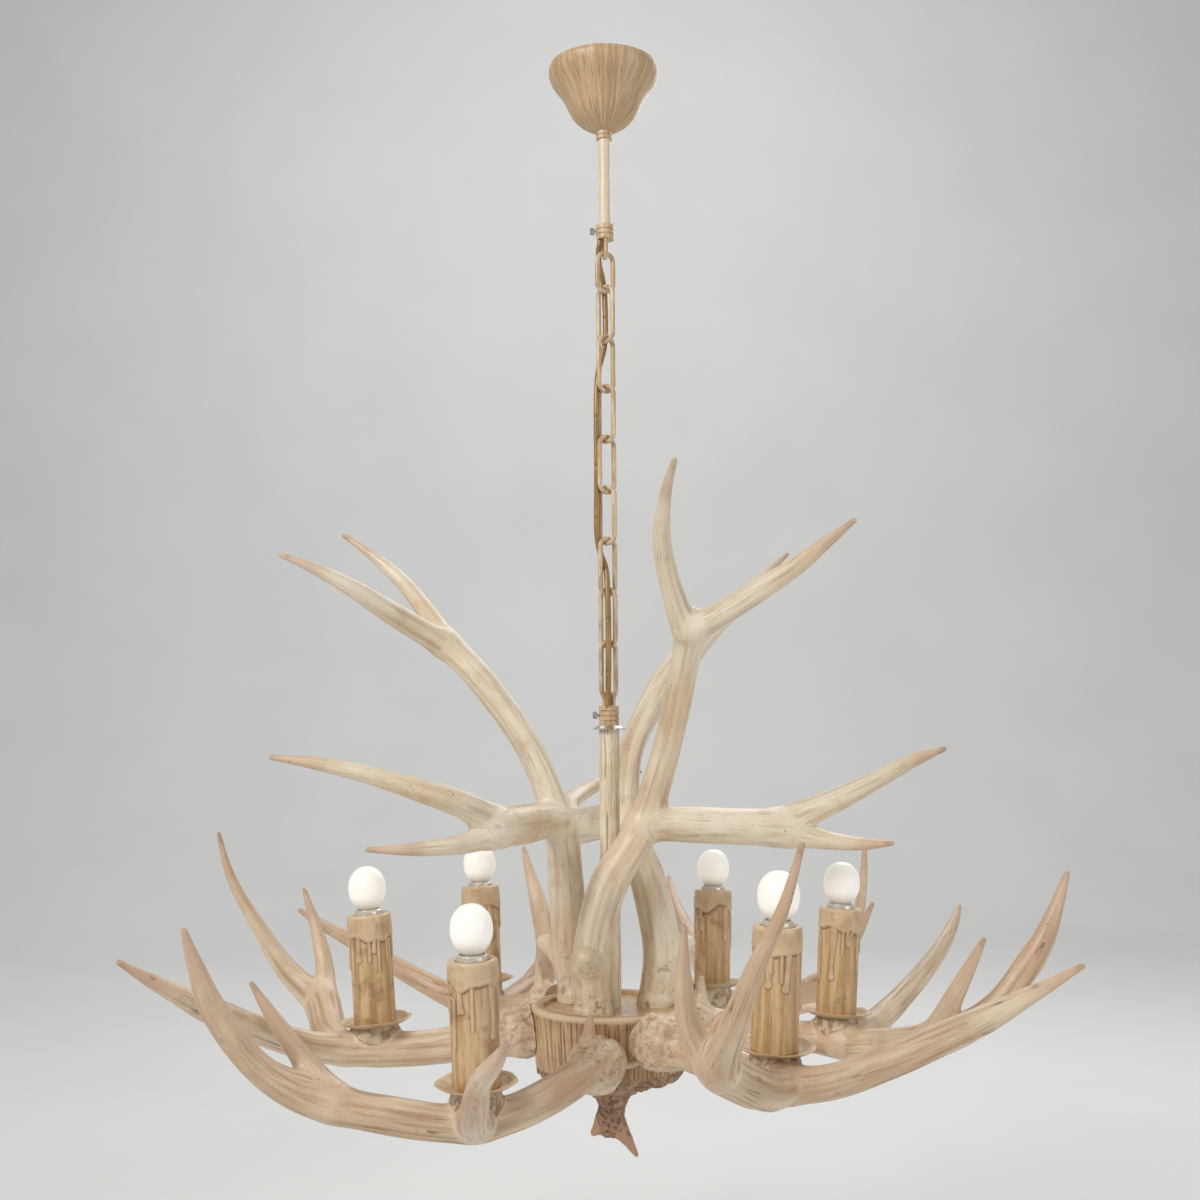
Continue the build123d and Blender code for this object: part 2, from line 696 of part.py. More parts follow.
finial_shape = {
    "neck": [(0, 0, 0, root_neck_r), (-1, 0, -7, 11.5), (-2, 0, -14, 11), (-3, 0, -21, 9)],
    "short_prong": [(-6, 0, -12, 7), (-12, 0, -19, 5.5), (-18, 0, -26, 3)],
    "long_prong": [(0, 0, -12, 8.5), (8, -1, -24, 7), (16, -1, -36, 5), (23, -1, -47, 2.2)],
}
with BuildPart() as finial_antler:
    for line in finial_shape.values():
        with Locations((0, 0, root_bottom_z)):
            add(branch_solid(line))
    with BuildSketch(Plane.XY.offset(root_bottom_z)):
        Circle(3 * root_neck_r)
    extrude(amount=root_height, mode=Mode.SUBTRACT)
    with Locations((0, 0, root_bottom_z)):
        Cylinder(stud_r + 0.1, root_height, mode=Mode.SUBTRACT)
save(finial_antler, "finial_antler")

with BuildPart() as wire_connector:
    with Locations((0, 0, column_end_z - 1.0)):
        Cylinder(connector_r, connector_height, align=(Align.CENTER, Align.CENTER, Align.MAX))
    chamfer(wire_connector.edges().filter_by(GeomType.CIRCLE), 1.5)
save(wire_connector, "wire_connector")

# ================================================================ lower antlers
with BuildPart() as hub_envelope:
    with BuildSketch(Plane.XZ):
        with BuildLine():
            slope = (hub_top_r - hub_bottom_r) / hub_height
            Polyline(
                (0, hub_top_z + cut_reach), (hub_top_r + arm_bore_gap, hub_top_z + cut_reach),
                (hub_top_r + arm_bore_gap, hub_top_z), (hub_bottom_r + arm_bore_gap, hub_bottom_z),
                (hub_bottom_r - slope * cut_reach + arm_bore_gap, hub_bottom_z - cut_reach),
                (0, hub_bottom_z - cut_reach), close=True,
            )
        make_face()
    revolve(axis=Axis.Z)

for name, shape, place, lamp, drop, inner, foot in arms:
    branches = [branch_solid(line) for line in shape.values()]
    with BuildPart() as boss:
        with BuildSketch(Plane.XY.offset(-drop)):
            Circle(boss_low_r)
        with BuildSketch(Plane.XY):
            Circle(boss_top_r)
        loft()
    with BuildPart() as lower_antler:
        with Locations(place):
            add(branches[0])
        for branch in branches[1:]:
            with Locations(place):
                add(branch)
        with Locations(lamp):
            add(boss.part)
            Cylinder(rod_r + arm_bore_gap, 2 * (drop + rod_r + 1.0), mode=Mode.SUBTRACT)
            Cylinder(
                boss_top_r + 12.0, cut_reach, align=(Align.CENTER, Align.CENTER, Align.MIN),
                mode=Mode.SUBTRACT,
            )
        with Locations(Plane(origin=inner, z_dir=foot - inner).location):
            Cylinder(
                pipe_r + arm_bore_gap, (foot - inner).length, align=(Align.CENTER, Align.CENTER, Align.MIN),
                mode=Mode.SUBTRACT,
            )
        add(hub_envelope.part, mode=Mode.SUBTRACT)
    save(lower_antler, name)

# ================================================================ upper antlers
crown_branches = [branch_solid(line) for line in crown_antler.values()]
for (name, azimuth, turn, shift), bolt in zip(upper_antlers, bolt_locations):
    place = arm_location(azimuth, turn, shift, upper_pivot, plate_top_z)
    with BuildPart() as upper_antler:
        for branch in crown_branches:
            with Locations(place):
                add(branch)
        with BuildSketch(Plane.XY.offset(plate_top_z)):
            Circle(2 * hub_top_r)
        extrude(amount=-cut_reach, mode=Mode.SUBTRACT)
        with Locations(bolt):
            Cylinder(antler_bolt_r + 0.1, 2 * (antler_bolt_depth + 1.0), mode=Mode.SUBTRACT)
    save(upper_antler, name)

# ================================================================ arm pipes, nuts and wires
with BuildPart() as arm_pipes:
    for name, shape, place, lamp, drop, inner, foot in arms:
        with Locations(Plane(origin=inner, z_dir=foot - inner).location):
            add(ring(pipe_r, pipe_r - pipe_wall, 0, (foot - inner).length - pipe_stop))
save(arm_pipes, "arm_pipes")

nut_corner = pipe_nut_flats / math.sqrt(3)
hub_inner_r = min(hub_bottom_r, hub_top_r - cavity_draw) - hub_wall
with BuildPart() as pipe_nuts:
    for name, shape, place, lamp, drop, inner, foot in arms:
        run = (foot - inner).normalized()
        flat = Vector(run.X, run.Y, 0).normalized()
        along = inner.X * flat.X + inner.Y * flat.Y
        across = abs(inner.X * flat.Y - inner.Y * flat.X) + nut_corner
        reach = math.sqrt((hub_inner_r - seat_gap) ** 2 - across**2) - along
        with Locations(Plane(origin=inner + run * (reach - pipe_nut_thick - seat_gap), z_dir=run).location):
            add(hex_nut(pipe_nut_flats, pipe_nut_thick, pipe_r + 0.05))
save(pipe_nuts, "pipe_nuts")

connector_middle_z = column_end_z - 1.0 - connector_height / 2
socket_bottom = pan_thick + candle_height - socket_depth
with BuildPart() as arm_wires:
    for name, shape, place, lamp, drop, inner, foot in arms:
        away = math.atan2(inner.Y, inner.X)
        start_r = connector_r + wire_r * 0.5
        start = Vector(start_r * math.cos(away), start_r * math.sin(away), connector_middle_z)
        top = (lamp * Location((0, 0, socket_bottom - seat_gap))).position
        add(wire_sweep([start, inner, foot, top], [wire_bend_r, wire_bend_r], wire_r))
save(arm_wires, "arm_wires")

# ================================================================ candles
with BuildPart() as drip_pan:
    with BuildSketch(Plane.XZ):
        with BuildLine():
            Polyline((rod_r + 0.2, 0), (pan_r * 0.62, 0))
            Spline((pan_r * 0.62, 0), (pan_r * 0.86, 1.4), (pan_r, pan_lip))
            Polyline((pan_r, pan_lip), (pan_r - 1.6, pan_lip + 0.9))
            Spline((pan_r - 1.6, pan_lip + 0.9), (pan_r * 0.82, pan_thick + 1.2), (pan_r * 0.62, pan_thick))
            Polyline((pan_r * 0.62, pan_thick), (rod_r + 0.2, pan_thick), (rod_r + 0.2, 0))
        make_face()
    revolve(axis=Axis.Z)

candle_top = pan_thick + candle_height
with BuildPart() as candle:
    with BuildSketch(Plane.XZ):
        with BuildLine():
            Polyline(
                (rod_r + 0.2, pan_thick), (candle_r - 0.8, pan_thick), (candle_r, pan_thick + 1.5),
                (candle_r - 0.6, candle_top - 34.0), (candle_top_r, candle_top - 24.0),
                (candle_top_r, candle_top - 4.0), (candle_top_r - 2.0, candle_top),
                (candle_bore_r + 1.0, candle_top), (candle_bore_r, candle_top - 1.0),
                (candle_bore_r, pan_thick + candle_floor), (rod_r + 0.2, pan_thick + candle_floor),
                close=True,
            )
        make_face()
    revolve(axis=Axis.Z)

socket_top = candle_top
with BuildPart() as socket:
    with BuildSketch(Plane.XY.offset(socket_bottom)):
        Circle(socket_r)
    extrude(amount=socket_depth)
    with BuildSketch(Plane.XY.offset(socket_top)):
        Circle(socket_bore_r)
    extrude(amount=-socket_bore_depth, mode=Mode.SUBTRACT)
    with BuildSketch(Plane.XY.offset(socket_bottom)):
        Circle(rod_r + 0.1)
    extrude(amount=8.0, mode=Mode.SUBTRACT)

with BuildPart() as socket_ring:
    with BuildSketch(Plane.XZ):
        with BuildLine():
            Polyline(
                (socket_bore_r + 2.4, socket_top), (socket_r, socket_top),
                (socket_r - 0.3, socket_top + 2.6), (socket_r - 1.6, socket_top + socket_collar_height),
                (socket_bore_r + 3.6, socket_top + socket_collar_height), close=True,
            )
        make_face()
    revolve(axis=Axis.Z)

with BuildPart() as rod:
    add(ring(rod_r, rod_r - rod_wall, -6.0, socket_bottom + 7.6))

with BuildPart() as rod_nut:
    with Locations((0, 0, pan_thick + candle_floor)):
        add(hex_nut(nut_across_flats, candle_nut_thick, rod_r + 0.05))

cap_top = socket_top + 1.0
with BuildPart() as bulb:
    with BuildSketch(Plane.XY.offset(cap_top - bulb_cap_length)):
        Circle(bulb_cap_r)
    extrude(amount=bulb_cap_length)
    chamfer(bulb.faces().sort_by(Axis.Z)[0].edges(), 2.0)
    with BuildSketch(Plane.XZ):
        with BuildLine():
            Line((0, cap_top - 0.5), (bulb_cap_r + 0.6, cap_top - 0.5))
            Spline(
                (bulb_cap_r + 0.6, cap_top - 0.5), (bulb_r * 0.6, cap_top + bulb_height * 0.11),
                (bulb_r * 0.92, cap_top + bulb_height * 0.32), (bulb_r, cap_top + bulb_height * 0.52),
                (bulb_r * 0.87, cap_top + bulb_height * 0.78), (bulb_r * 0.5, cap_top + bulb_height * 0.95),
                (0, cap_top + bulb_height), tangents=[(0.2, 1), (-1, 0)],
            )
            Line((0, cap_top + bulb_height), (0, cap_top - 0.5))
        make_face()
    revolve(axis=Axis.Z)

lamp_places = [lamp for name, shape, place, lamp, drop, inner, foot in arms]
for group_name, piece in (
    ("drip_pans", drip_pan), ("candle_sleeves", candle), ("lamp_sockets", socket),
    ("socket_rings", socket_ring), ("candle_rods", rod), ("candle_nuts", rod_nut),
):
    with BuildPart() as group:
        with Locations(*lamp_places):
            add(piece.part)
    save(group, group_name)

for name, shape, place, lamp, drop, inner, foot in arms:
    with BuildPart() as one_bulb:
        with Locations(lamp):
            add(bulb.part)
    save(one_bulb, name.replace("lower_antler", "bulb"))
    print("bulb axis", name, [round(v, 2) for v in lamp.position], [round(v, 4) for v in Plane(lamp).z_dir])

print("chain pivots", [round(z, 2) for z in pivots])
print(len(written), "nodes")
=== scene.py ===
import math

import bmesh
import bpy
import numpy as np
from mathutils import Matrix, Vector


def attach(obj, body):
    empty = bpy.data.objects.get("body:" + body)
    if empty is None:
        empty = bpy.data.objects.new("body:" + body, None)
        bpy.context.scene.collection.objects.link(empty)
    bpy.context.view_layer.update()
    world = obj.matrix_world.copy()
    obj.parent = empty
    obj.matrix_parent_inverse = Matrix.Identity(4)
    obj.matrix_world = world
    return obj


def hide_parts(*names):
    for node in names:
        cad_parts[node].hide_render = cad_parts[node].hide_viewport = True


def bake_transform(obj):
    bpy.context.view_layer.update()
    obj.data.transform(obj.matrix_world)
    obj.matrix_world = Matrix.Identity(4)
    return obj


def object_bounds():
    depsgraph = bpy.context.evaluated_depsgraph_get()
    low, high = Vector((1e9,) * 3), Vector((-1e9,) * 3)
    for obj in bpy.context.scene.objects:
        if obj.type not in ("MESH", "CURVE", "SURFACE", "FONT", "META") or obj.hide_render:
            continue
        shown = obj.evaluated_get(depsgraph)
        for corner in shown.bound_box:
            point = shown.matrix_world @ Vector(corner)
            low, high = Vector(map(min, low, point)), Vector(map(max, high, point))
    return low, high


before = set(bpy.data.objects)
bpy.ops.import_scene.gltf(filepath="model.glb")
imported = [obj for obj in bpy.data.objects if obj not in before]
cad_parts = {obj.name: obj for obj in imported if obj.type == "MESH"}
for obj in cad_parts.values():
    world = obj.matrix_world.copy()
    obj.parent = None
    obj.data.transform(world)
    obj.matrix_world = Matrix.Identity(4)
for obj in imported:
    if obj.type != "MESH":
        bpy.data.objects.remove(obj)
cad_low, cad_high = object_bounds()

MM = 0.001
scene = bpy.context.scene

# ----- sizes shared with the CAD, in mm
hub_top_z, hub_bottom_z = -951, -1008
hub_top_r, hub_bottom_r = 79, 74.5
hub_middle_z = (hub_top_z + hub_bottom_z) / 2
plate_top_z = -955
root_bottom_z = -1048
column_r, column_wall = 10.2, 1.5
column_top_z, column_end_z = -683, -974
hub_slope = (hub_top_r - hub_bottom_r) / (hub_top_z - hub_bottom_z)
hub_edge_r = 3
pan_r, pan_thick, pan_lip, pan_bore_r = 35, 2, 5, 5.3
candle_top, candle_bore_r = 106, 14.2
boss_top_r, boss_low_r = 20, 17
candle_lean = math.radians(4)
cord_r = 2.9
fork_pipe, fork_drop = (42, -2, -1), 10
hook_pipe, hook_drop = (42, 22, -4), 22
chain_pitch = 52
chain_pivots = [-202.3] + [-237.75 - chain_pitch * k for k in range(9)]
cord_points = [
    (0, 0, -17), (0, 0, -171), (-5.8, 0.2, -187.5), (-7.4, 4.6, -202), (-1, 9.2, -228),
    (0.2, 9.4, -262), (-0.4, 9.3, -292), (-6.8, 6.6, -313), (-10, 0.3, -336), (-10.3, -0.3, -385),
    (-10, 0.4, -440), (-11.3, 0.9, -498), (-1.4, 0.2, -521), (-0.4, -9.2, -545), (0.3, -9.5, -600),
    (-0.5, -9.2, -650), (-1.8, -5.6, -668), (-0.2, -0.9, -730), (0, 0, -800), (-0.1, 0.1, -974.8),
]

fork_antler = {
    "beam": [
        (72, -3, 3, 24), (84, -3, 3, 26.5), (94, -2, 2, 25.5), (104, 1, 0, 20.5), (122, 6, -2, 18),
        (163, 11, -7, 17), (210, 12, -10, 16), (259, 15, -9, 15), (297, 32, 0, 14), (336, 66, 22, 13.5),
        (370, 110, 48, 11.5), (401, 143, 73, 7), (430, 169, 97, 2.5),
    ],
    "stem": [(258, 12, -9, 14), (278, -30, -7, 17), (291, -72, 9, 17), (301, -97, 24, 14)],
    "near_tine": [(294, -84, 14, 12), (299, -116, 48, 9.5), (311, -131, 88, 6.5), (326, -141, 128, 2.2)],
    "far_tine": [
        (300, -90, 18, 14), (336, -106, 48, 11.5), (370, -110, 97, 7.5), (396, -103, 145, 4.8),
        (408, -95, 191, 2.2),
    ],
    "snag": [(134, 10, 4, 10), (143, 16, 20, 8), (152, 22, 34, 3.5)],
}
hook_antler = {
    "beam": [
        (72, 20, 0, 23), (82, 21, 0, 25), (92, 22, -1, 24.5), (103, 24, -2, 19.5), (122, 25, -5, 16.5),
        (163, 26, -12, 16), (208, 18, -20, 15.5), (243, -3, -24, 15), (277, -52, -17, 15.5),
        (313, -103, -3, 15.5), (352, -131, 25, 12.5), (391, -142, 74, 11), (412, -142, 111, 6.8),
        (426, -141, 141, 2.5),
    ],
    "brow": [
        (236, 0, -22, 14.5), (273, 28, -15, 13.5), (319, 64, 7, 11.5), (370, 108, 40, 9), (400, 145, 64, 6),
        (415, 166, 80, 2.5),
    ],
    "middle_tine": [(304, -92, -6, 13.5), (312, -122, 27, 9.5), (325, -145, 61, 6.2), (339, -157, 90, 2.2)],
    "snag": [(100, 22, 12, 9), (102, 24, 28, 6.5), (104, 27, 44, 3)],
}
crown_antler = {
    "beam": [
        (45, -10, -8, 16), (48, -10, 12, 17), (55, -10, 58, 18.5), (50, 5, 121, 18), (42, 37, 178, 16),
        (60, 62, 250, 13.5), (104, 81, 318, 14), (144, 93, 358, 13.5),
    ],
    "long_tine": [
        (141, 98, 355, 12.5), (165, 146, 380, 11), (184, 186, 401, 8.5), (208, 215, 419, 5.5),
        (232, 236, 431, 2.4),
    ],
    "top_tine": [
        (143, 85, 356, 12.5), (175, 74, 390, 10), (207, 69, 422, 8.5), (244, 74, 454, 5.5), (275, 84, 477, 2.4),
    ],
    "branch": [(42, 37, 180, 15), (38, 82, 180, 17.5), (33, 131, 178, 18), (31, 178, 176, 17)],
    "high_prong": [
        (31, 168, 180, 14), (46, 222, 201, 11.5), (93, 265, 221, 8.2), (136, 291, 233, 6.2),
        (174, 311, 239, 2.4),
    ],
    "low_prong": [(31, 170, 173, 12.5), (40, 213, 164, 8.8), (68, 246, 160, 5.8), (100, 271, 160, 2.2)],
    "brow_stub": [(58, -11, 46, 13), (74, -12, 52, 11), (84, -12, 56, 8)],
}
finial_shape = {
    "neck": [(0, 0, 0, 13), (-1, 0, -7, 11.5), (-2, 0, -14, 11), (-3, 0, -21, 9)],
    "short_prong": [(-6, 0, -12, 7), (-12, 0, -19, 5.5), (-18, 0, -26, 3)],
    "long_prong": [(0, 0, -12, 8.5), (8, -1, -24, 7), (16, -1, -36, 5), (23, -1, -47, 2.2)],
}
lower_pivot = (85, 0, -16)
upper_pivot = (48, 0, 0)
lower_antlers = [
    ("right", hook_antler, 4, (-1, -3, -1), (-8, 6, 0), (235, 12, 1.5)),
    ("back_right", fork_antler, 64, (8, 2, -4), (0, 0, 0), (238, 3, 14)),
    ("back_left", hook_antler, 124, (1, 1, -1), (0, -6, 11), (240, 17, 7)),
    ("left", fork_antler, 184, (1, 0, -2), (-2, -2, 0), (230.5, 8, 13)),
    ("front_left", hook_antler, 244, (1, -2, -7), (5, 8, -9), (239, 4, 5)),
    ("front_right", fork_antler, 304, (-3, -2, -3), (0, -2, 4), (238, 12, 15)),
]
upper_antlers = [
    ("left", 145, (2, 1, 8), (-1, 4, 0)),
    ("front", 265, (0, -6, -1), (-2, -4, 0)),
    ("back", 25, (-4, 0, -4), (-2, 1, 0)),
]

# ----- sizes of the scene's own, in mm
pipe_cover_r, pipe_end_fade = 5.9, 15
antler_step, finial_step = 6, 3
antler_voxel, finial_voxel = 1.6, 0.9
crotch = 3.6
hub_clearance = 0.25
touch_gap = 0.1


# ----- camera and light
def linked(name, data):
    """A new object in the scene."""
    obj = bpy.data.objects.new(name, data)
    scene.collection.objects.link(obj)
    return obj


cam_data = bpy.data.cameras.new("camera")
camera = linked("camera", cam_data)
cam_data.sensor_width = 36
cam_data.lens = 42.6
cam_data.clip_end = 50
pitch, roll = math.radians(5.23), math.radians(0.45)
camera.location = (-0.008, -1.420, -0.685)
aim = Matrix.Rotation(math.pi / 2 + pitch, 4, "X") @ Matrix.Rotation(-roll, 4, "Z")
camera.rotation_euler = aim.to_euler()
scene.camera = camera


def area_light(name, place, target, size, power, colour=(1, 1, 1)):
    """A soft round lamp that looks at a point."""
    data = bpy.data.lights.new(name, "AREA")
    data.shape = "DISK"
    data.size = size
    data.energy = power
    data.color = colour
    lamp = linked(name, data)
    lamp.location = place
    lamp.rotation_euler = (Vector(target) - Vector(place)).to_track_quat("-Z", "Y").to_euler()


middle = (0, 0, -0.75)
area_light("key", (-1.7, -2, 0.9), middle, 1.3, 48, (1, 0.98, 0.95))
area_light("fill", (2.3, -1.6, -0.5), middle, 1.8, 15, (0.97, 0.98, 1))
area_light("rim", (0.9, 1.8, 0.9), (0.2, -0.4, -0.8), 1.8, 19)
area_light("wall", (0, 1.9, 2.6), (0, 5.2, -0.3), 3.2, 58)

world = bpy.data.worlds.new("studio")
world.use_nodes = True
sky = world.node_tree.nodes["Background"].inputs
sky["Color"].default_value = (0.93, 0.94, 0.95, 1)
sky["Strength"].default_value = 0.42
scene.world = world
scene.view_settings.view_transform = "Standard"


# ----- numbers and meshes
def lattice(points, seed):
    """Smooth noise from -1 to 1, one cell per unit."""
    points = np.asarray(points, float)
    cell = np.floor(points).astype(np.int64)
    part = points - cell
    part = part * part * (3 - 2 * part)
    out = np.zeros(len(points))
    for corner in range(8):
        step = np.array([corner & 1, corner >> 1 & 1, corner >> 2 & 1])
        at = cell + step
        key = at[:, 0] * 374761393 + at[:, 1] * 668265263 + at[:, 2] * 1442695041 + seed * 974634777
        key &= 0xFFFFFFFF
        key = ((key ^ (key >> 13)) * 1274126177) & 0xFFFFFFFF
        value = ((key ^ (key >> 16)) & 0xFFFF) / 32767.5 - 1
        out += np.prod(np.where(step, part, 1 - part), axis=1) * value
    return out


def smooth(value, low, high):
    """0 below low, 1 above high, smooth between."""
    t = np.clip((np.asarray(value, float) - low) / (high - low), 0, 1)
    return t * t * (3 - 2 * t)


def unit(v):
    return v / np.maximum(np.linalg.norm(v, axis=-1, keepdims=True), 1e-12)


def angles(count):
    return np.arange(count) * 2 * math.pi / count


def stacked(*values):
    """Rows of three numbers from three grids, rows or single numbers."""
    return np.stack([np.ravel(v) for v in np.broadcast_arrays(*values)], 1)


def turn_matrix(x, y, z):
    """Turns about x, then the new y, then the new z, in degrees."""
    turn = np.eye(3)
    for axis, a in enumerate((x, y, z)):
        cos, sin = math.cos(math.radians(a)), math.sin(math.radians(a))
        i, j = (axis + 1) % 3, (axis + 2) % 3
        about = np.eye(3)
        about[i, i] = about[j, j] = cos
        about[i, j], about[j, i] = -sin, sin
        turn = turn @ about
    return turn


def placed(points, azimuth, turn, shift, pivot, level):
    """Points of a piece drawn along +X, moved to where it stands, in mm."""
    pivot = np.array(pivot, float)
    moved = (np.asarray(points, float) - pivot) @ turn_matrix(*turn).T + pivot + np.array(shift, float)
    return moved @ turn_matrix(0, 0, azimuth).T + np.array([0, 0, level])


def dense(points, step):
    """A smooth line through the points, with the radius at each."""
    points = np.array(points, float)
    near = np.vstack([points[:1], points, points[-1:]])
    out = []
    for i in range(len(points) - 1):
        a, b, c, d = near[i:i + 4]
        count = max(2, round(np.linalg.norm(c[:3] - b[:3]) / step))
        t = (np.arange(count) / count)[:, None]
        square = 2 * a - 5 * b + 4 * c - d
        cube = 3 * b - a - 3 * c + d
        out.append(0.5 * (2 * b + (c - a) * t + square * t**2 + cube * t**3))
    out.append(points[-1:])
    return np.vstack(out)


def between(values, piece, share):
    """A value of a line at places between its points."""
    return values[piece] + share * (values[piece + 1] - values[piece])


class Limb:
    """One branch: its line, its radius, and a frame carried along it without twisting."""

    def __init__(self, line, name, real_tip):
        self.name = name
        self.real_tip = real_tip
        self.point = line[:, :3]
        self.radius = line[:, 3]
        self.along = unit(np.gradient(self.point, axis=0))
        side = np.array([0.31, 0.17, 0.93])
        sides = []
        for a in self.along:
            side = unit(side - a * side.dot(a))
            sides.append(side)
        self.side = np.array(sides)
        self.cross = np.cross(self.along, self.side)
        steps = np.linalg.norm(np.diff(self.point, axis=0), axis=1)
        self.run = np.concatenate([[0], np.cumsum(steps)])

    def measure(self, p):
        """Distance of each point to the skin, and where on the branch it is nearest."""
        best = np.full(len(p), 1e9)
        piece = np.zeros(len(p), int)
        share = np.zeros(len(p))
        for k in range(len(self.point) - 1):
            a = self.point[k]
            ab = self.point[k + 1] - a
            rel = p - a
            t = np.clip(rel @ ab / (ab @ ab), 0, 1)
            gap = rel - t[:, None] * ab
            reach = self.radius[k] + t * (self.radius[k + 1] - self.radius[k])
            d = np.sqrt((gap * gap).sum(1)) - reach
            closer = d < best
            best[closer] = d[closer]
            piece[closer] = k
            share[closer] = t[closer]
        return best, piece, share

    def direction(self, p, piece, share):
        """Unit direction from the branch's line to each point."""
        return unit(p - between(self.point, piece, share[:, None]))

    def rings(self, sides, part=slice(None)):
        """Rings of points round the branch's line."""
        angle = angles(sides)
        side, cross = self.side[part, None], self.cross[part, None]
        turn = np.cos(angle)[None, :, None] * side + np.sin(angle)[None, :, None] * cross
        return self.point[part, None] + self.radius[part, None, None] * turn

    def tube(self, sides=20):
        """A closed tube round the branch, pointed at both ends."""
        verts = list(self.rings(sides).reshape(-1, 3))
        verts.append(self.point[0] - self.along[0] * self.radius[0] * 0.8)
        verts.append(self.point[-1] + self.along[-1] * self.radius[-1] * 0.9)
        count = len(self.point)
        faces = grid_faces(count, sides)
        last = (count - 1) * sides
        for c in range(sides):
            n = (c + 1) % sides
            faces += [(c, count * sides, n), (last + c, last + n, count * sides + 1)]
        return verts, faces


def grid_faces(rows, columns, closed_rows=False):
    """Quads between rings of points; the rows may close on themselves too."""
    faces = []
    for r in range(rows if closed_rows else rows - 1):
        a, b = r * columns, (r + 1) % rows * columns
        for c in range(columns):
            n = (c + 1) % columns
            faces.append((a + c, a + n, b + n, b + c))
    return faces


def new_object(name, verts, faces):
    """A smooth mesh object from points in mm."""
    mesh = bpy.data.meshes.new(name)
    mesh.from_pydata([tuple(v) for v in np.asarray(verts, float) * MM], [], faces)
    mesh.update()
    mesh.polygons.foreach_set("use_smooth", np.ones(len(mesh.polygons), bool))
    return linked(name, mesh)


def outward(obj):
    """Turns every face of a closed mesh to look outward."""
    bm = bmesh.new()
    bm.from_mesh(obj.data)
    bmesh.ops.recalc_face_normals(bm, faces=bm.faces)
    bm.to_mesh(obj.data)
    bm.free()


def points_of(obj):
    """The mesh's points in mm."""
    co = np.zeros(len(obj.data.vertices) * 3)
    obj.data.vertices.foreach_get("co", co)
    return co.reshape(-1, 3) / MM


def set_points(obj, p):
    """Moves the mesh's points, in mm, kept within the CAD's own box."""
    inset = 0.05 * MM
    p = np.clip(np.asarray(p, float) * MM, np.array(cad_low) + inset, np.array(cad_high) - inset)
    obj.data.vertices.foreach_set("co", p.astype(np.float32).ravel())
    obj.data.update()


def keep_vectors(obj, **vectors):
    """Stores what the piece's material reads."""
    for name, values in vectors.items():
        layer = obj.data.attributes.new(name, "FLOAT_VECTOR", "POINT")
        layer.data.foreach_set("vector", np.asarray(values, np.float32).ravel())


def closed_object(name, verts, faces, **vectors):
    obj = new_object(name, verts, faces)
    outward(obj)
    keep_vectors(obj, **vectors)
    return obj


def remeshed(name, limbs, voxel):
    """One closed skin round all the limbs."""
    verts, faces = [], []
    for limb in limbs:
        v, f = limb.tube()
        faces += [tuple(i + len(verts) for i in face) for face in f]
        verts += v
    rough = closed_object(name + "_rough", verts, faces)
    modifier = rough.modifiers.new("skin", "REMESH")
    modifier.mode = "VOXEL"
    modifier.voxel_size = voxel * MM
    modifier.use_smooth_shade = True
    evaluated = rough.evaluated_get(bpy.context.evaluated_depsgraph_get())
    mesh = bpy.data.meshes.new_from_object(evaluated)
    mesh.name = name
    bpy.data.objects.remove(rough)
    return linked(name, mesh)


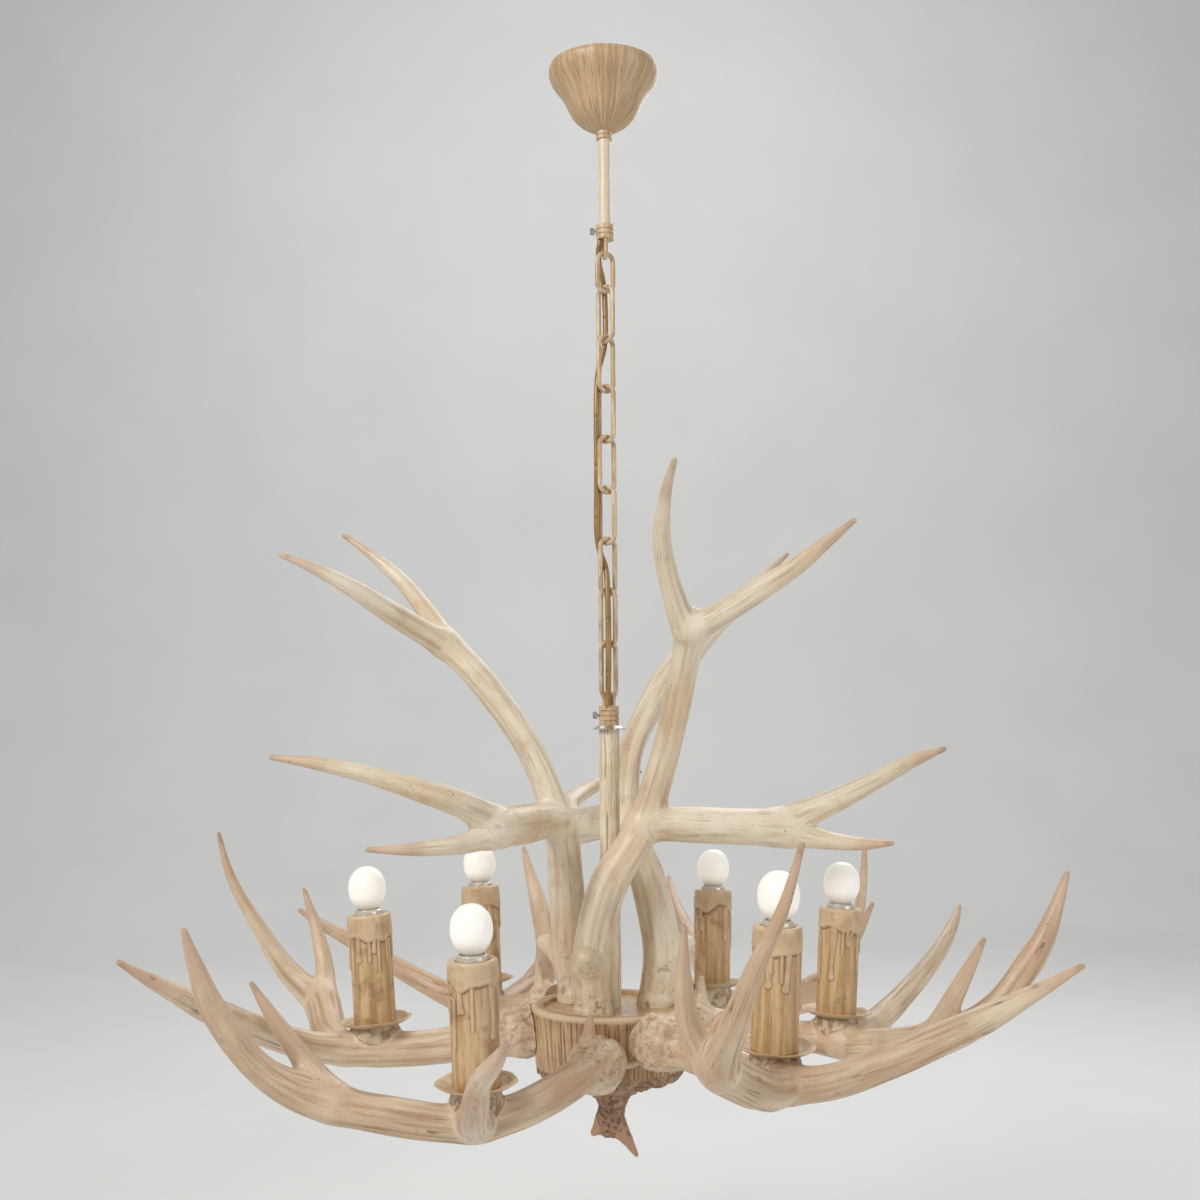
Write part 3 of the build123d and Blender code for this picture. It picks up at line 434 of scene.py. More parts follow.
def dressed_antler(name, limbs, seed, centre, voxel=antler_voxel, burr=None, lumpy=0, pale=0):
    """An antler's skin: smooth forks, long grooves, pearls near its base, and slim tips.

    With a burr's axis it gets a knobbly burr there, and its last limb is a knobbly stump.
    """
    obj = remeshed(name, limbs, voxel)
    p = points_of(obj)
    for attempt in range(3):  # each pass brings the points closer to the blended skin
        found = [limb.measure(p) for limb in limbs]
        distance = np.array([f[0] for f in found])
        low = distance.min(0)
        weight = np.exp(-(distance - low) / crotch)
        total = weight.sum(0)
        field = low - crotch * np.log(total)
        weight /= total
        normal = sum(
            w[:, None] * limb.direction(p, f[1], f[2]) for w, limb, f in zip(weight, limbs, found)
        )
        steep = np.maximum((normal * normal).sum(1), 0.3)
        p = p - (field / steep)[:, None] * normal
    normal = unit(normal)
    which = distance.argmin(0)
    ranked = np.sort(distance, axis=0)
    clear = smooth(ranked[1] - ranked[0], 0.5, 5) if len(limbs) > 1 else np.ones(len(p))
    grain = np.zeros((len(p), 3))
    radius, tip, push, dark, stump = (np.zeros(len(p)) for k in range(5))
    for i, limb in enumerate(limbs):
        mine = which == i
        if not mine.any():
            continue
        piece, share = found[i][1][mine], found[i][2][mine]
        side = limb.side[piece]
        cross = limb.cross[piece]
        off = limb.direction(p[mine], piece, share)
        cos, sin = (off * side).sum(1), (off * cross).sum(1)
        run, r = (between(values, piece, share) for values in (limb.run, limb.radius))
        radius[mine] = r
        to_end = limb.run[-1] - run
        if limb.real_tip:
            tip[mine] = 1 - smooth(to_end, 4, 75)
        shifted = run + 173 * i
        grain[mine] = stacked(cos * 16, sin * 16, shifted * 0.055) * MM
        fade = smooth(r, 4.5, 13) * (1 - 0.6 * tip[mine])
        wave = lattice(stacked(cos * 1.1 + 7 * i, sin * 1.1, shifted / 46), seed)
        ridge = lattice(stacked(cos * 3 + 5 * i, sin * 3, shifted / 55), seed + 1)
        slim = lattice(stacked(cos * 5.2 + 3 * i, sin * 5.2, shifted / 38), seed + 2)
        valley = smooth(ridge, 0.05, 0.75) * 0.95 + smooth(slim, 0.1, 0.8) * 0.5
        push[mine] = 0.055 * wave * r - valley * fade * clear[mine] * (1 - 0.45 * pale)
        # painted shade: the grooves darker in their beds
        dark[mine] = valley * fade * clear[mine] / 1.4
        if limb.name == "brow_stub":
            push[mine] += 1.3 * lattice(p[mine] / 8, seed + 5)
    from_base = p - np.array(centre)
    base = 1 - smooth(np.linalg.norm(from_base, axis=1), 18, 72)
    pearl = lattice(p / 8, seed + 3)
    fine = lattice(p / 3.4, seed + 4)
    pits = smooth(-lattice(p / 5, seed + 9), 0.35, 0.75)
    push += base * (1.3 * pearl + 0.25 * fine - 1.2 * pits) * smooth(radius, 8, 13) * (1 - 0.6 * pale)
    # painted shade in the pits near the base
    dark = np.maximum(dark * (1 - 0.4 * pale), base * pits * (0.95 - 0.35 * pale))
    if burr is not None:
        axial = from_base @ burr
        flat = from_base - axial[:, None] * burr
        ang = np.arctan2(flat @ np.cross(burr, [0, 0, 1]), flat[:, 2])
        knob = lattice(stacked(np.cos(ang) * 2.3, np.sin(ang) * 2.3, axial / 11), seed + 6)
        near = np.exp(-((axial / 9) ** 2)) * smooth(radius, 19, 24)
        push += near * (2.1 * knob + 0.5 * fine)
        # painted shade in the burr's crevices
        dark = np.maximum(dark, near * smooth(-knob, 0.15, 0.7) * 0.7)
        stump[which == len(limbs) - 1] = 1
        lump = lattice(p / 8.5, seed + 7)
        push += stump * (1.7 * lump + 0.45 * fine)
        # painted shade in the stump's crevices
        dark = np.maximum(dark, stump * smooth(-lump, 0.1, 0.7) * 0.8)
    if lumpy:
        push += lumpy * (0.9 * lattice(p / 7, seed + 8) + 0.5 * fine) * smooth(radius, 2.5, 7)
    p = p + normal * push[:, None]
    # the third mark is the painted shade of the grooves, pits and crevices
    marks, more = stacked(tip, base, np.clip(dark, 0, 1)), stacked(stump, clear, pale)
    keep_vectors(obj, grain=grain, marks=marks, more=more)
    return obj, p


# ----- materials
def rgb(r, g, b):
    """A colour from screen values of 0 to 255."""
    return tuple(((v / 255 + 0.055) / 1.055) ** 2.4 for v in (r, g, b)) + (1,)


class Look:
    """A procedural material, built from a few short calls. Colours are screen values of 0 to 255."""

    def __init__(self, name, **fixed):
        self.material = bpy.data.materials.new(name)
        self.material.use_nodes = True
        self.tree = self.material.node_tree
        self.shader = self.tree.nodes["Principled BSDF"]
        for key, value in fixed.items():
            self.shader.inputs[key.replace("_", " ")].default_value = value

    def feed(self, socket, value):
        if isinstance(value, bpy.types.NodeSocket):
            self.tree.links.new(value, socket)
        else:
            socket.default_value = value

    def make(self, kind, values, **settings):
        node = self.tree.nodes.new("ShaderNode" + kind)
        for key, value in settings.items():
            setattr(node, key, value)
        for key, value in values.items():
            self.feed(node.inputs[key], value)
        return node

    def object_point(self):
        return self.make("TexCoord", {}).outputs["Object"]

    def stored(self, name):
        return self.make("Attribute", {}, attribute_name=name).outputs["Vector"]

    def parts(self, name):
        return self.make("SeparateXYZ", {0: self.stored(name)}).outputs

    def math(self, operation, a, b=None, kind="Math"):
        return self.make(kind, {0: a} if b is None else {0: a, 1: b}, operation=operation).outputs[0]

    def sum(self, a, b):
        return self.math("ADD", a, b)

    def product(self, a, b):
        return self.math("MULTIPLY", a, b)

    def times(self, vector, by):
        return self.math("MULTIPLY", vector, by, "VectorMath")

    def noise(self, vector, scale, detail=3, roughness=0.55, twist=0):
        values = {
            "Vector": vector, "Scale": scale, "Detail": detail, "Roughness": roughness, "Distortion": twist,
        }
        return self.make("TexNoise", values).outputs[0]

    def fall(self, value, low, high):
        """1 below low, 0 above high, straight between."""
        values = {"Value": value, "From Min": low, "From Max": high, "To Min": 1, "To Max": 0}
        return self.make("MapRange", values).outputs[0]

    def step(self, value, low, high, top=1):
        values = {"Value": value, "From Min": low, "From Max": high, "To Min": 0, "To Max": top}
        return self.make("MapRange", values, interpolation_type="SMOOTHSTEP").outputs[0]

    def spread(self, value, low, high):
        return self.make("MapRange", {"Value": value, "To Min": low, "To Max": high}).outputs[0]

    def mix(self, share, a, b):
        """From a to b, which are colours or sockets."""
        node = self.tree.nodes.new("ShaderNodeMix")
        node.data_type = "RGBA"
        self.feed(node.inputs[0], share)
        for place, value in ((6, a), (7, b)):
            self.feed(node.inputs[place], rgb(*value) if isinstance(value, tuple) else value)
        return node.outputs[2]

    def lay(self, share, colour):
        """Lays a colour over the tone so far."""
        self.tone = self.mix(share, self.tone, colour)

    def words(self):
        """The calls a look makes most, for short names, and the object's own coordinates."""
        return self.lay, self.mix, self.step, self.product, self.noise, self.object_point()

    def bump(self, height, distance, strength, under=None):
        values = {"Height": height, "Distance": distance, "Strength": strength}
        if under is not None:
            values["Normal"] = under
        return self.make("Bump", values).outputs[0]

    def done(self, dull, low, high, height, distance, strength, under=None):
        """Feeds the tone, a roughness from low to high and a bump, and gives the material."""
        self.feed(self.shader.inputs["Base Color"], self.tone)
        self.feed(self.shader.inputs["Roughness"], self.spread(dull, low, high))
        self.feed(self.shader.inputs["Normal"], self.bump(height, distance, strength, under))
        return self.material


def antler_look():
    look = Look("antler_horn", Coat_Weight=0.22, Coat_Roughness=0.28, Specular_IOR_Level=0.5)
    lay, mix, step, product, noise, spot = look.words()
    grain = look.stored("grain")
    tip, base, valley = look.parts("marks")
    stump, clear, pale = look.parts("more")
    cloud = noise(spot, 9, 3)
    patch = noise(spot, 42, 4)
    broad = noise(grain, 150, 4, 0.6, 0.15)
    slim = noise(grain, 430, 4, 0.65)
    hair = noise(grain, 1100, 3, 0.6)
    look.tone = mix(step(cloud, 0.36, 0.66), (230, 209, 180), (210, 176, 143))
    lay(pale, mix(step(cloud, 0.38, 0.68), (241, 229, 206), (229, 207, 175)))
    lay(step(patch, 0.5, 0.74, 0.42), (204, 168, 136))
    streak = product(clear, look.spread(pale, 1, 0.66))
    lay(product(step(broad, 0.51, 0.69, 0.58), streak), (182, 142, 100))
    lay(product(step(slim, 0.55, 0.7, 0.44), streak), (152, 112, 74))
    lay(product(step(hair, 0.53, 0.69, 0.24), streak), (122, 88, 58))
    # painted shade in the grooves, pits and crevices
    lay(product(valley, 0.6), (146, 106, 68))
    lay(step(tip, 0.1, 0.7, 0.62), (212, 178, 152))
    crack = look.math("SUBTRACT", noise(grain, 95, 2, 0.5, 0.3), 0.5)
    crack = look.fall(look.math("ABSOLUTE", crack), 0, 0.012)  # thin lines out of a noise
    crack = product(product(crack, step(noise(spot, 26, 2), 0.53, 0.62)), clear)
    crack = product(product(crack, look.spread(base, 1, 0)), look.spread(pale, 1, 0.45))
    lay(product(crack, 0.75), (88, 58, 36))
    crust = noise(spot, 80, 5, 0.7)
    lay(product(base, step(crust, 0.44, 0.56, 0.55)), (236, 219, 190))
    lay(product(base, step(crust, 0.56, 0.66, 0.7)), (138, 98, 62))
    cells = look.make("TexVoronoi", {"Vector": spot, "Scale": 190}).outputs["Distance"]
    where = look.sum(noise(spot, 55, 2), product(base, 0.08))
    dots = product(look.fall(cells, 0.06, 0.22), step(where, 0.62, 0.7))
    lay(product(dots, 0.85), (84, 56, 36))
    grit = step(noise(spot, 120, 4, 0.65), 0.42, 0.6)
    lay(product(stump, 0.75), mix(grit, (206, 188, 160), (128, 98, 70)))
    end = step(look.sum(tip, product(noise(spot, 120, 2), 0.1)), 1.02, 1.1, 0.7)
    lay(end, (146, 114, 88))
    dull = look.sum(product(patch, 0.6), product(valley, 0.4))
    height = look.sum(broad, product(slim, 0.5))
    for layer, weight in ((hair, 0.2), (crack, -0.8), (dots, -0.6)):
        height = look.sum(height, product(layer, weight))
    fine = look.bump(noise(spot, 300, 2, 0.6), 0.0003, 0.25)
    return look.done(dull, 0.3, 0.64, height, 0.0010, 0.7, fine)


def candle_look():
    look = Look("candle_sleeve_wax", Coat_Weight=0.12, Coat_Roughness=0.35)
    lay, mix, step, product, noise, spot = look.words()
    grain = look.stored("grain")
    wax, top, edge = look.parts("marks")
    broad = noise(grain, 210, 3, 0.6)
    slim = noise(grain, 560, 4, 0.7)
    cloud = noise(spot, 38, 4, 0.6)
    look.tone = mix(step(broad, 0.38, 0.62), (214, 183, 140), (188, 150, 104))
    lay(step(slim, 0.53, 0.7, 0.5), (150, 110, 70))
    lay(step(cloud, 0.5, 0.66, 0.6), (138, 98, 58))
    pale = mix(step(noise(spot, 60, 3), 0.4, 0.65), (222, 197, 162), (203, 172, 134))
    lay(product(wax, 0.7), pale)
    # painted shade under the wax cap's edge and round the runs and arches of wax
    lay(product(edge, 0.75), (112, 76, 44))
    lay(product(top, 0.45), (228, 206, 174))
    dull = look.sum(product(wax, -0.4), product(slim, 0.9))
    height = look.sum(product(broad, 0.6), product(slim, 0.5))
    return look.done(dull, 0.32, 0.6, height, 0.0007, 0.6)


def pan_look():
    look = Look("drip_pan_tan", Coat_Weight=0.15, Coat_Roughness=0.3)
    lay, mix, step, product, noise, spot = look.words()
    rim, low = look.parts("marks")[:2]
    cloud = noise(spot, 90, 4, 0.6)
    streak = noise(look.times(spot, (1, 1, 0.3)), 320, 3, 0.6)
    look.tone = mix(step(cloud, 0.36, 0.66), (214, 186, 146), (184, 146, 102))
    lay(step(streak, 0.54, 0.7, 0.5), (140, 102, 64))
    # painted highlight along the pan's rim
    lay(product(rim, 0.6), (229, 206, 166))
    # painted shade on the pan's underside
    lay(product(low, 0.4), (150, 110, 70))
    return look.done(cloud, 0.3, 0.6, look.sum(cloud, product(streak, 0.4)), 0.0009, 0.5)


def bark_look(name, pale, deep, groove, fine_scale):
    """Carved wood bark: upright grooves, dark in their beds."""
    look = Look(name, Coat_Weight=0.06, Coat_Roughness=0.4)
    lay, mix, step, product, noise, spot = look.words()
    grain = look.stored("grain")
    bed, edge = look.parts("marks")[:2]
    broad = noise(grain, fine_scale * 0.35, 3, 0.6)
    slim = noise(grain, fine_scale, 4, 0.7)
    look.tone = mix(step(noise(spot, 34, 3), 0.36, 0.66), pale, deep)
    lay(step(broad, 0.48, 0.68, 0.5), deep)
    lay(step(slim, 0.55, 0.7, 0.55), groove)
    lay(product(bed, 0.9), tuple(v * 0.82 for v in groove))
    lay(product(edge, 0.7), (229, 208, 172))
    dull = look.sum(product(slim, 0.5), product(bed, 0.5))
    height = look.sum(product(broad, 0.7), product(slim, 0.5))
    return look.done(dull, 0.42, 0.78, height, 0.0009, 0.7)


def root_look():
    look = Look("root_clump", Specular_IOR_Level=0.4)
    lay, mix, step, product, noise, spot = look.words()
    grit = noise(spot, 210, 5, 0.7)
    lump = noise(spot, 70, 3)
    look.tone = mix(step(grit, 0.38, 0.58), (104, 73, 51), (172, 138, 106))
    lay(step(lump, 0.44, 0.62, 0.6), (196, 164, 132))
    lay(step(noise(spot, 460, 3, 0.7), 0.54, 0.64, 0.75), (194, 162, 134))
    fine = look.bump(noise(spot, 620, 4, 0.7), 0.0006, 0.7)
    return look.done(grit, 0.5, 0.85, look.sum(grit, product(lump, 0.6)), 0.0028, 0.9, fine)


def finial_look():
    look = Look("finial_horn", Coat_Weight=0.08, Coat_Roughness=0.4)
    lay, mix, step, product, noise, spot = look.words()
    grain = look.stored("grain")
    tip, _, valley = look.parts("marks")
    grit = noise(spot, 240, 5, 0.7)
    slim = noise(grain, 430, 4, 0.65)
    look.tone = mix(step(grit, 0.38, 0.58), (106, 74, 52), (174, 138, 108))
    tine = mix(step(slim, 0.5, 0.7), (192, 148, 122), (146, 104, 80))
    lay(step(tip, 0.3, 0.85), tine)
    # painted shade in the grooves and pits
    lay(product(valley, 0.6), (82, 54, 36))
    return look.done(grit, 0.38, 0.75, look.sum(grit, product(slim, 0.4)), 0.0012, 0.7)


def painted_look(name, reach, drop, pale, mid, brown, wear):
    """Cream-tan brushed paint on metal, its brown strokes running down the piece."""
    look = Look(name, Coat_Weight=0.18, Coat_Roughness=0.28, Specular_IOR_Level=0.5)
    lay, mix, step, product, noise, spot = look.words()
    # the grain follows the outline of a turned piece on the fixture's axis
    flat = look.math("NORMALIZE", look.times(spot, (1, 1, 0)), kind="VectorMath")
    grain = look.math("ADD", look.times(flat, (reach,) * 3), look.times(spot, (0, 0, drop)), "VectorMath")
    broad = noise(grain, 160, 3, 0.6, 0.2)
    slim = noise(grain, 520, 4, 0.7)
    cloud = noise(spot, 60, 3)
    look.tone = mix(step(broad, 0.38, 0.64), pale, mid)
    lay(step(slim, 0.52, 0.68, wear), brown)
    lay(step(cloud, 0.54, 0.74, 0.4), mid)
    dull = look.sum(product(slim, 0.6), product(cloud, 0.4))
    return look.done(dull, 0.3, 0.58, look.sum(product(broad, 0.5), slim), 0.0004, 0.6)


even = (1, 1, 1)


def plain_look(name, first, second, tones, steps, dull, relief, **fixed):
    """Two noises: the first mixes two tones and the second lays a third over them.

    A noise is its coordinates' stretch, then its settings. dull is a noise's number and a roughness
    from low to high; relief is a noise's number and a bump's distance and strength.
    """
    look = Look(name, **fixed)
    spot = look.object_point()
    noises = [look.noise(look.times(spot, stretch), *settings) for stretch, *settings in (first, second)]
    look.tone = look.mix(look.step(noises[0], *steps[0]), tones[0], tones[1])
    look.lay(look.step(noises[1], *steps[1]), tones[2])
    return look.done(noises[dull[0]], *dull[1:], noises[relief[0]], *relief[1:])


def metal_look(name, pale, dark, worn, metallic, low, high):
    """Turned or rolled metal with faint brushing and marks."""
    return plain_look(
        name, (even, 90), ((0.25, 0.25, 1), 380, 4, 0.7), (pale, dark, worn),
        ((0.35, 0.7), (0.5, 0.75, 0.35)), (1, low, high), (1, 0.0002, 0.4), Metallic=metallic,
    )


def plastic_look(name, pale, dark):
    return plain_look(
        name, (even, 60, 2), (even, 700), (pale, dark, dark),
        ((0.35, 0.7), (0.5, 0.7, 0.2)), (1, 0.35, 0.55), (1, 0.0002, 0.4),
    )


def bulb_look():
    look = Look("frosted_bulb", Emission_Strength=0.3, Specular_IOR_Level=0.6)
    place = look.make("TexCoord", {}).outputs["Generated"]
    height = look.make("SeparateXYZ", {0: place}).outputs[2]
    frost = look.noise(look.object_point(), 900, 3, 0.6)
    glass = look.mix(look.step(frost, 0.4, 0.7), (238, 236, 230), (230, 227, 219))
    look.tone = look.mix(look.step(height, 0.36, 0.5), (206, 204, 198), glass)
    glow = look.mix(look.step(height, 0.4, 0.62), (96, 90, 80), (252, 247, 236))
    look.feed(look.shader.inputs["Emission Color"], glow)
    return look.done(frost, 0.22, 0.4, frost, 0.0001, 0.3)


antler_horn = antler_look()
hub_bark = bark_look("hub_bark", (203, 172, 132), (182, 146, 106), (118, 82, 52), 620)
column_bark = bark_look("column_bark", (242, 229, 205), (227, 209, 180), (138, 104, 70), 700)
canopy_paint = painted_look(
    "canopy_paint", 0.075, 0.1, (208, 180, 142), (186, 152, 112), (124, 86, 50), 0.75,
)
stem_paint = painted_look("stem_paint", 0.008, 0.06, (236, 223, 199), (222, 204, 174), (170, 136, 98), 0.3)
collar_paint = painted_look("collar_paint", 0.009, 0.35, (220, 198, 162), (196, 162, 118), (138, 98, 58), 0.5)
chain_paint = plain_look(
    "chain_paint", ((1, 1, 0.22), 210), ((1, 1, 0.22), 620, 4, 0.7),
    ((222, 200, 170), (196, 164, 128), (132, 96, 64)), ((0.38, 0.62), (0.52, 0.68, 0.5)),
    (1, 0.3, 0.6), (1, 0.0003, 0.6), Coat_Weight=0.2, Coat_Roughness=0.3, Metallic=0.15,
)
steel = metal_look("zinc_steel", (196, 196, 192), (150, 150, 148), (120, 120, 118.4), 0.9, 0.22, 0.45)
silver = metal_look(
    "washer_silver", (226, 224, 216), (190, 186, 176), (152, 148.8, 140.8), 0.85, 0.15, 0.32,
)
plate_paint = plain_look(
    "hub_plate_paint", (even, 30, 4, 0.6, 0.4), ((1, 0.22, 1), 180, 4, 0.6),
    ((210, 178, 132), (180, 144, 98), (142, 104, 64)), ((0.36, 0.66), (0.52, 0.7, 0.4)),
    (1, 0.25, 0.45), (0, 0.0006, 0.4), Coat_Weight=0.5, Coat_Roughness=0.15,
)
amber = plain_look(
    "amber_cord", ((1, 1, 0.15), 180), (even, 900, 2),
    ((168, 132, 68), (134, 100, 46), (180, 146, 82)), ((0.36, 0.66), (0.55, 0.7, 0.3)),
    (0, 0.22, 0.4), (1, 0.0002, 0.4), Coat_Weight=0.35, Coat_Roughness=0.2, Specular_IOR_Level=0.6,
)
bulb_glass = bulb_look()
ring_silver = plain_look(  # its second noise has no weight
    "socket_ring_silver", ((0.3, 0.3, 1), 900), (even, 1),
    ((226, 220, 208), (196, 188, 174), (196, 188, 174)), ((0.4, 0.7), (0, 1, 0)),
    (0, 0.18, 0.36), (0, 0.0001, 0.4), Metallic=0.35, Coat_Weight=0.4, Coat_Roughness=0.12,
)
terminal = plastic_look("terminal_plastic", (228, 226, 218), (206, 202, 192))
insulation = plastic_look("wire_insulation", (60, 58, 56), (36, 34, 34))


# ----- antlers
def finish_piece(obj, material, node, body):
    obj.data.materials.clear()
    obj.data.materials.append(material)
    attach(obj, body)
    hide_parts(*([node] if isinstance(node, str) else node))


def covered(p, limb, start, end, reach):
    """Moves points outward from a branch's line until its skin covers a straight pipe inside it."""
    distance, piece, share = limb.measure(p)
    out = limb.direction(p, piece, share)
    along, length = unit(end - start), np.linalg.norm(end - start)
    run = (p - start) @ along
    off = (p - start) - run[:, None] * along
    across = out - (out @ along)[:, None] * along
    a = np.maximum((across * across).sum(1), 1e-6)
    b = (off * across).sum(1)
    room = b * b - a * ((off * off).sum(1) - reach * reach)
    far = (np.sqrt(np.maximum(room, 0)) - b) / a
    ends = smooth(run, 0, pipe_end_fade) * (1 - smooth(run, length - pipe_end_fade, length))
    near = (room > 0) & (far > 0) & (np.linalg.norm(off, axis=1) < 2.2 * reach) & (distance < 6)
    p[near] += (out * (far * ends)[:, None])[near]


def branches(shape, stand, blunt):
    """The branches of an antler where it stands; the blunt ones have no tip colour."""
    limbs = []
    for kind, points in shape.items():
        line = dense(points, antler_step)
        line[:, :3] = placed(line[:, :3], *stand)
        limbs.append(Limb(line, kind, kind not in blunt))
    return limbs


lamps = []
for number, (name, shape, azimuth, turn, shift, seat) in enumerate(lower_antlers):
    pipe, depth = (fork_pipe, fork_drop) if shape is fork_antler else (hook_pipe, hook_drop)
    stand = (azimuth, turn, shift, lower_pivot, hub_middle_z)
    limbs = branches(shape, stand, ("stem", "snag"))
    foot, centre, pipe_start = (placed([at], *stand)[0] for at in (seat, shape["beam"][1][:3], pipe))
    a = math.radians(azimuth)
    outside = np.array([math.cos(a), math.sin(a), 0])
    lean = math.sin(candle_lean) * outside + np.array([0, 0, math.cos(candle_lean)])
    out = math.cos(candle_lean) * outside - np.array([0, 0, math.sin(candle_lean)])
    lamps.append((name, foot, out, np.cross(lean, out), lean))
    drop = seat[2] + depth
    stump = [
        [*(foot - lean * drop * 0.9), boss_low_r - 3], [*(foot - lean * 12), boss_low_r + 1.5],
        [*(foot - lean * 6), boss_top_r + 0.8], [*(foot - lean), boss_top_r],
    ]
    limbs.append(Limb(dense(stump, antler_step), "stump", False))
    obj, p = dressed_antler(
        f"antler_lower_{name}", limbs, 20 + 13 * number, centre, burr=limbs[0].along[2],
    )
    covered(p, limbs[0], pipe_start, foot - lean * drop, pipe_cover_r)
    # flat under the drip pan
    from_foot = p - foot
    height = from_foot @ lean
    beside = np.linalg.norm(from_foot - height[:, None] * lean, axis=1)
    over = (height > -touch_gap) & (height < 30) & (beside < boss_top_r + 12)
    p[over] -= (height[over] + touch_gap)[:, None] * lean
    # clear of the hub's wall
    reach = np.hypot(p[:, 0], p[:, 1])
    wall = np.where(p[:, 2] > hub_top_z, hub_top_r, hub_top_r - (hub_top_z - p[:, 2]) * hub_slope)
    wall += hub_clearance
    inside = reach < wall
    p[inside, :2] *= (wall / np.maximum(reach, 1))[inside, None]
    set_points(obj, p)
    finish_piece(obj, antler_horn, f"lower_antler_{name}", "fixture")

for number, (name, azimuth, turn, shift) in enumerate(upper_antlers):
    stand = (azimuth, turn, shift, upper_pivot, plate_top_z)
    limbs = branches(crown_antler, stand, ("beam", "branch", "brow_stub"))
    limbs[0].radius += 3.2 * np.exp(-((limbs[0].point[:, 2] - plate_top_z) / 9) ** 2)
    centre = placed([(48, -10, 8)], *stand)[0]
    obj, p = dressed_antler(f"antler_upper_{name}", limbs, 200 + 17 * number, centre, pale=1)
    p[:, 2] = np.maximum(p[:, 2], plate_top_z + touch_gap)
    set_points(obj, p)
    finish_piece(obj, antler_horn, f"upper_antler_{name}", "fixture")

limbs = []
for kind, points in finial_shape.items():
    line = dense(points, finial_step)
    line[:, 2] += root_bottom_z
    limbs.append(Limb(line, kind, kind != "neck"))
obj, p = dressed_antler("antler_finial", limbs, 400, (0, 0, root_bottom_z), finial_voxel, lumpy=0.8)
p[:, 2] = np.minimum(p[:, 2], root_bottom_z + 1.5)
set_points(obj, p)
finish_piece(obj, finial_look(), "finial_antler", "fixture")


# ----- candles and drip pans
def round_arc(th, centre):
    """Distance round a candle from an angle, in mm."""
    return ((th - centre + math.pi) % (2 * math.pi) - math.pi) * 20


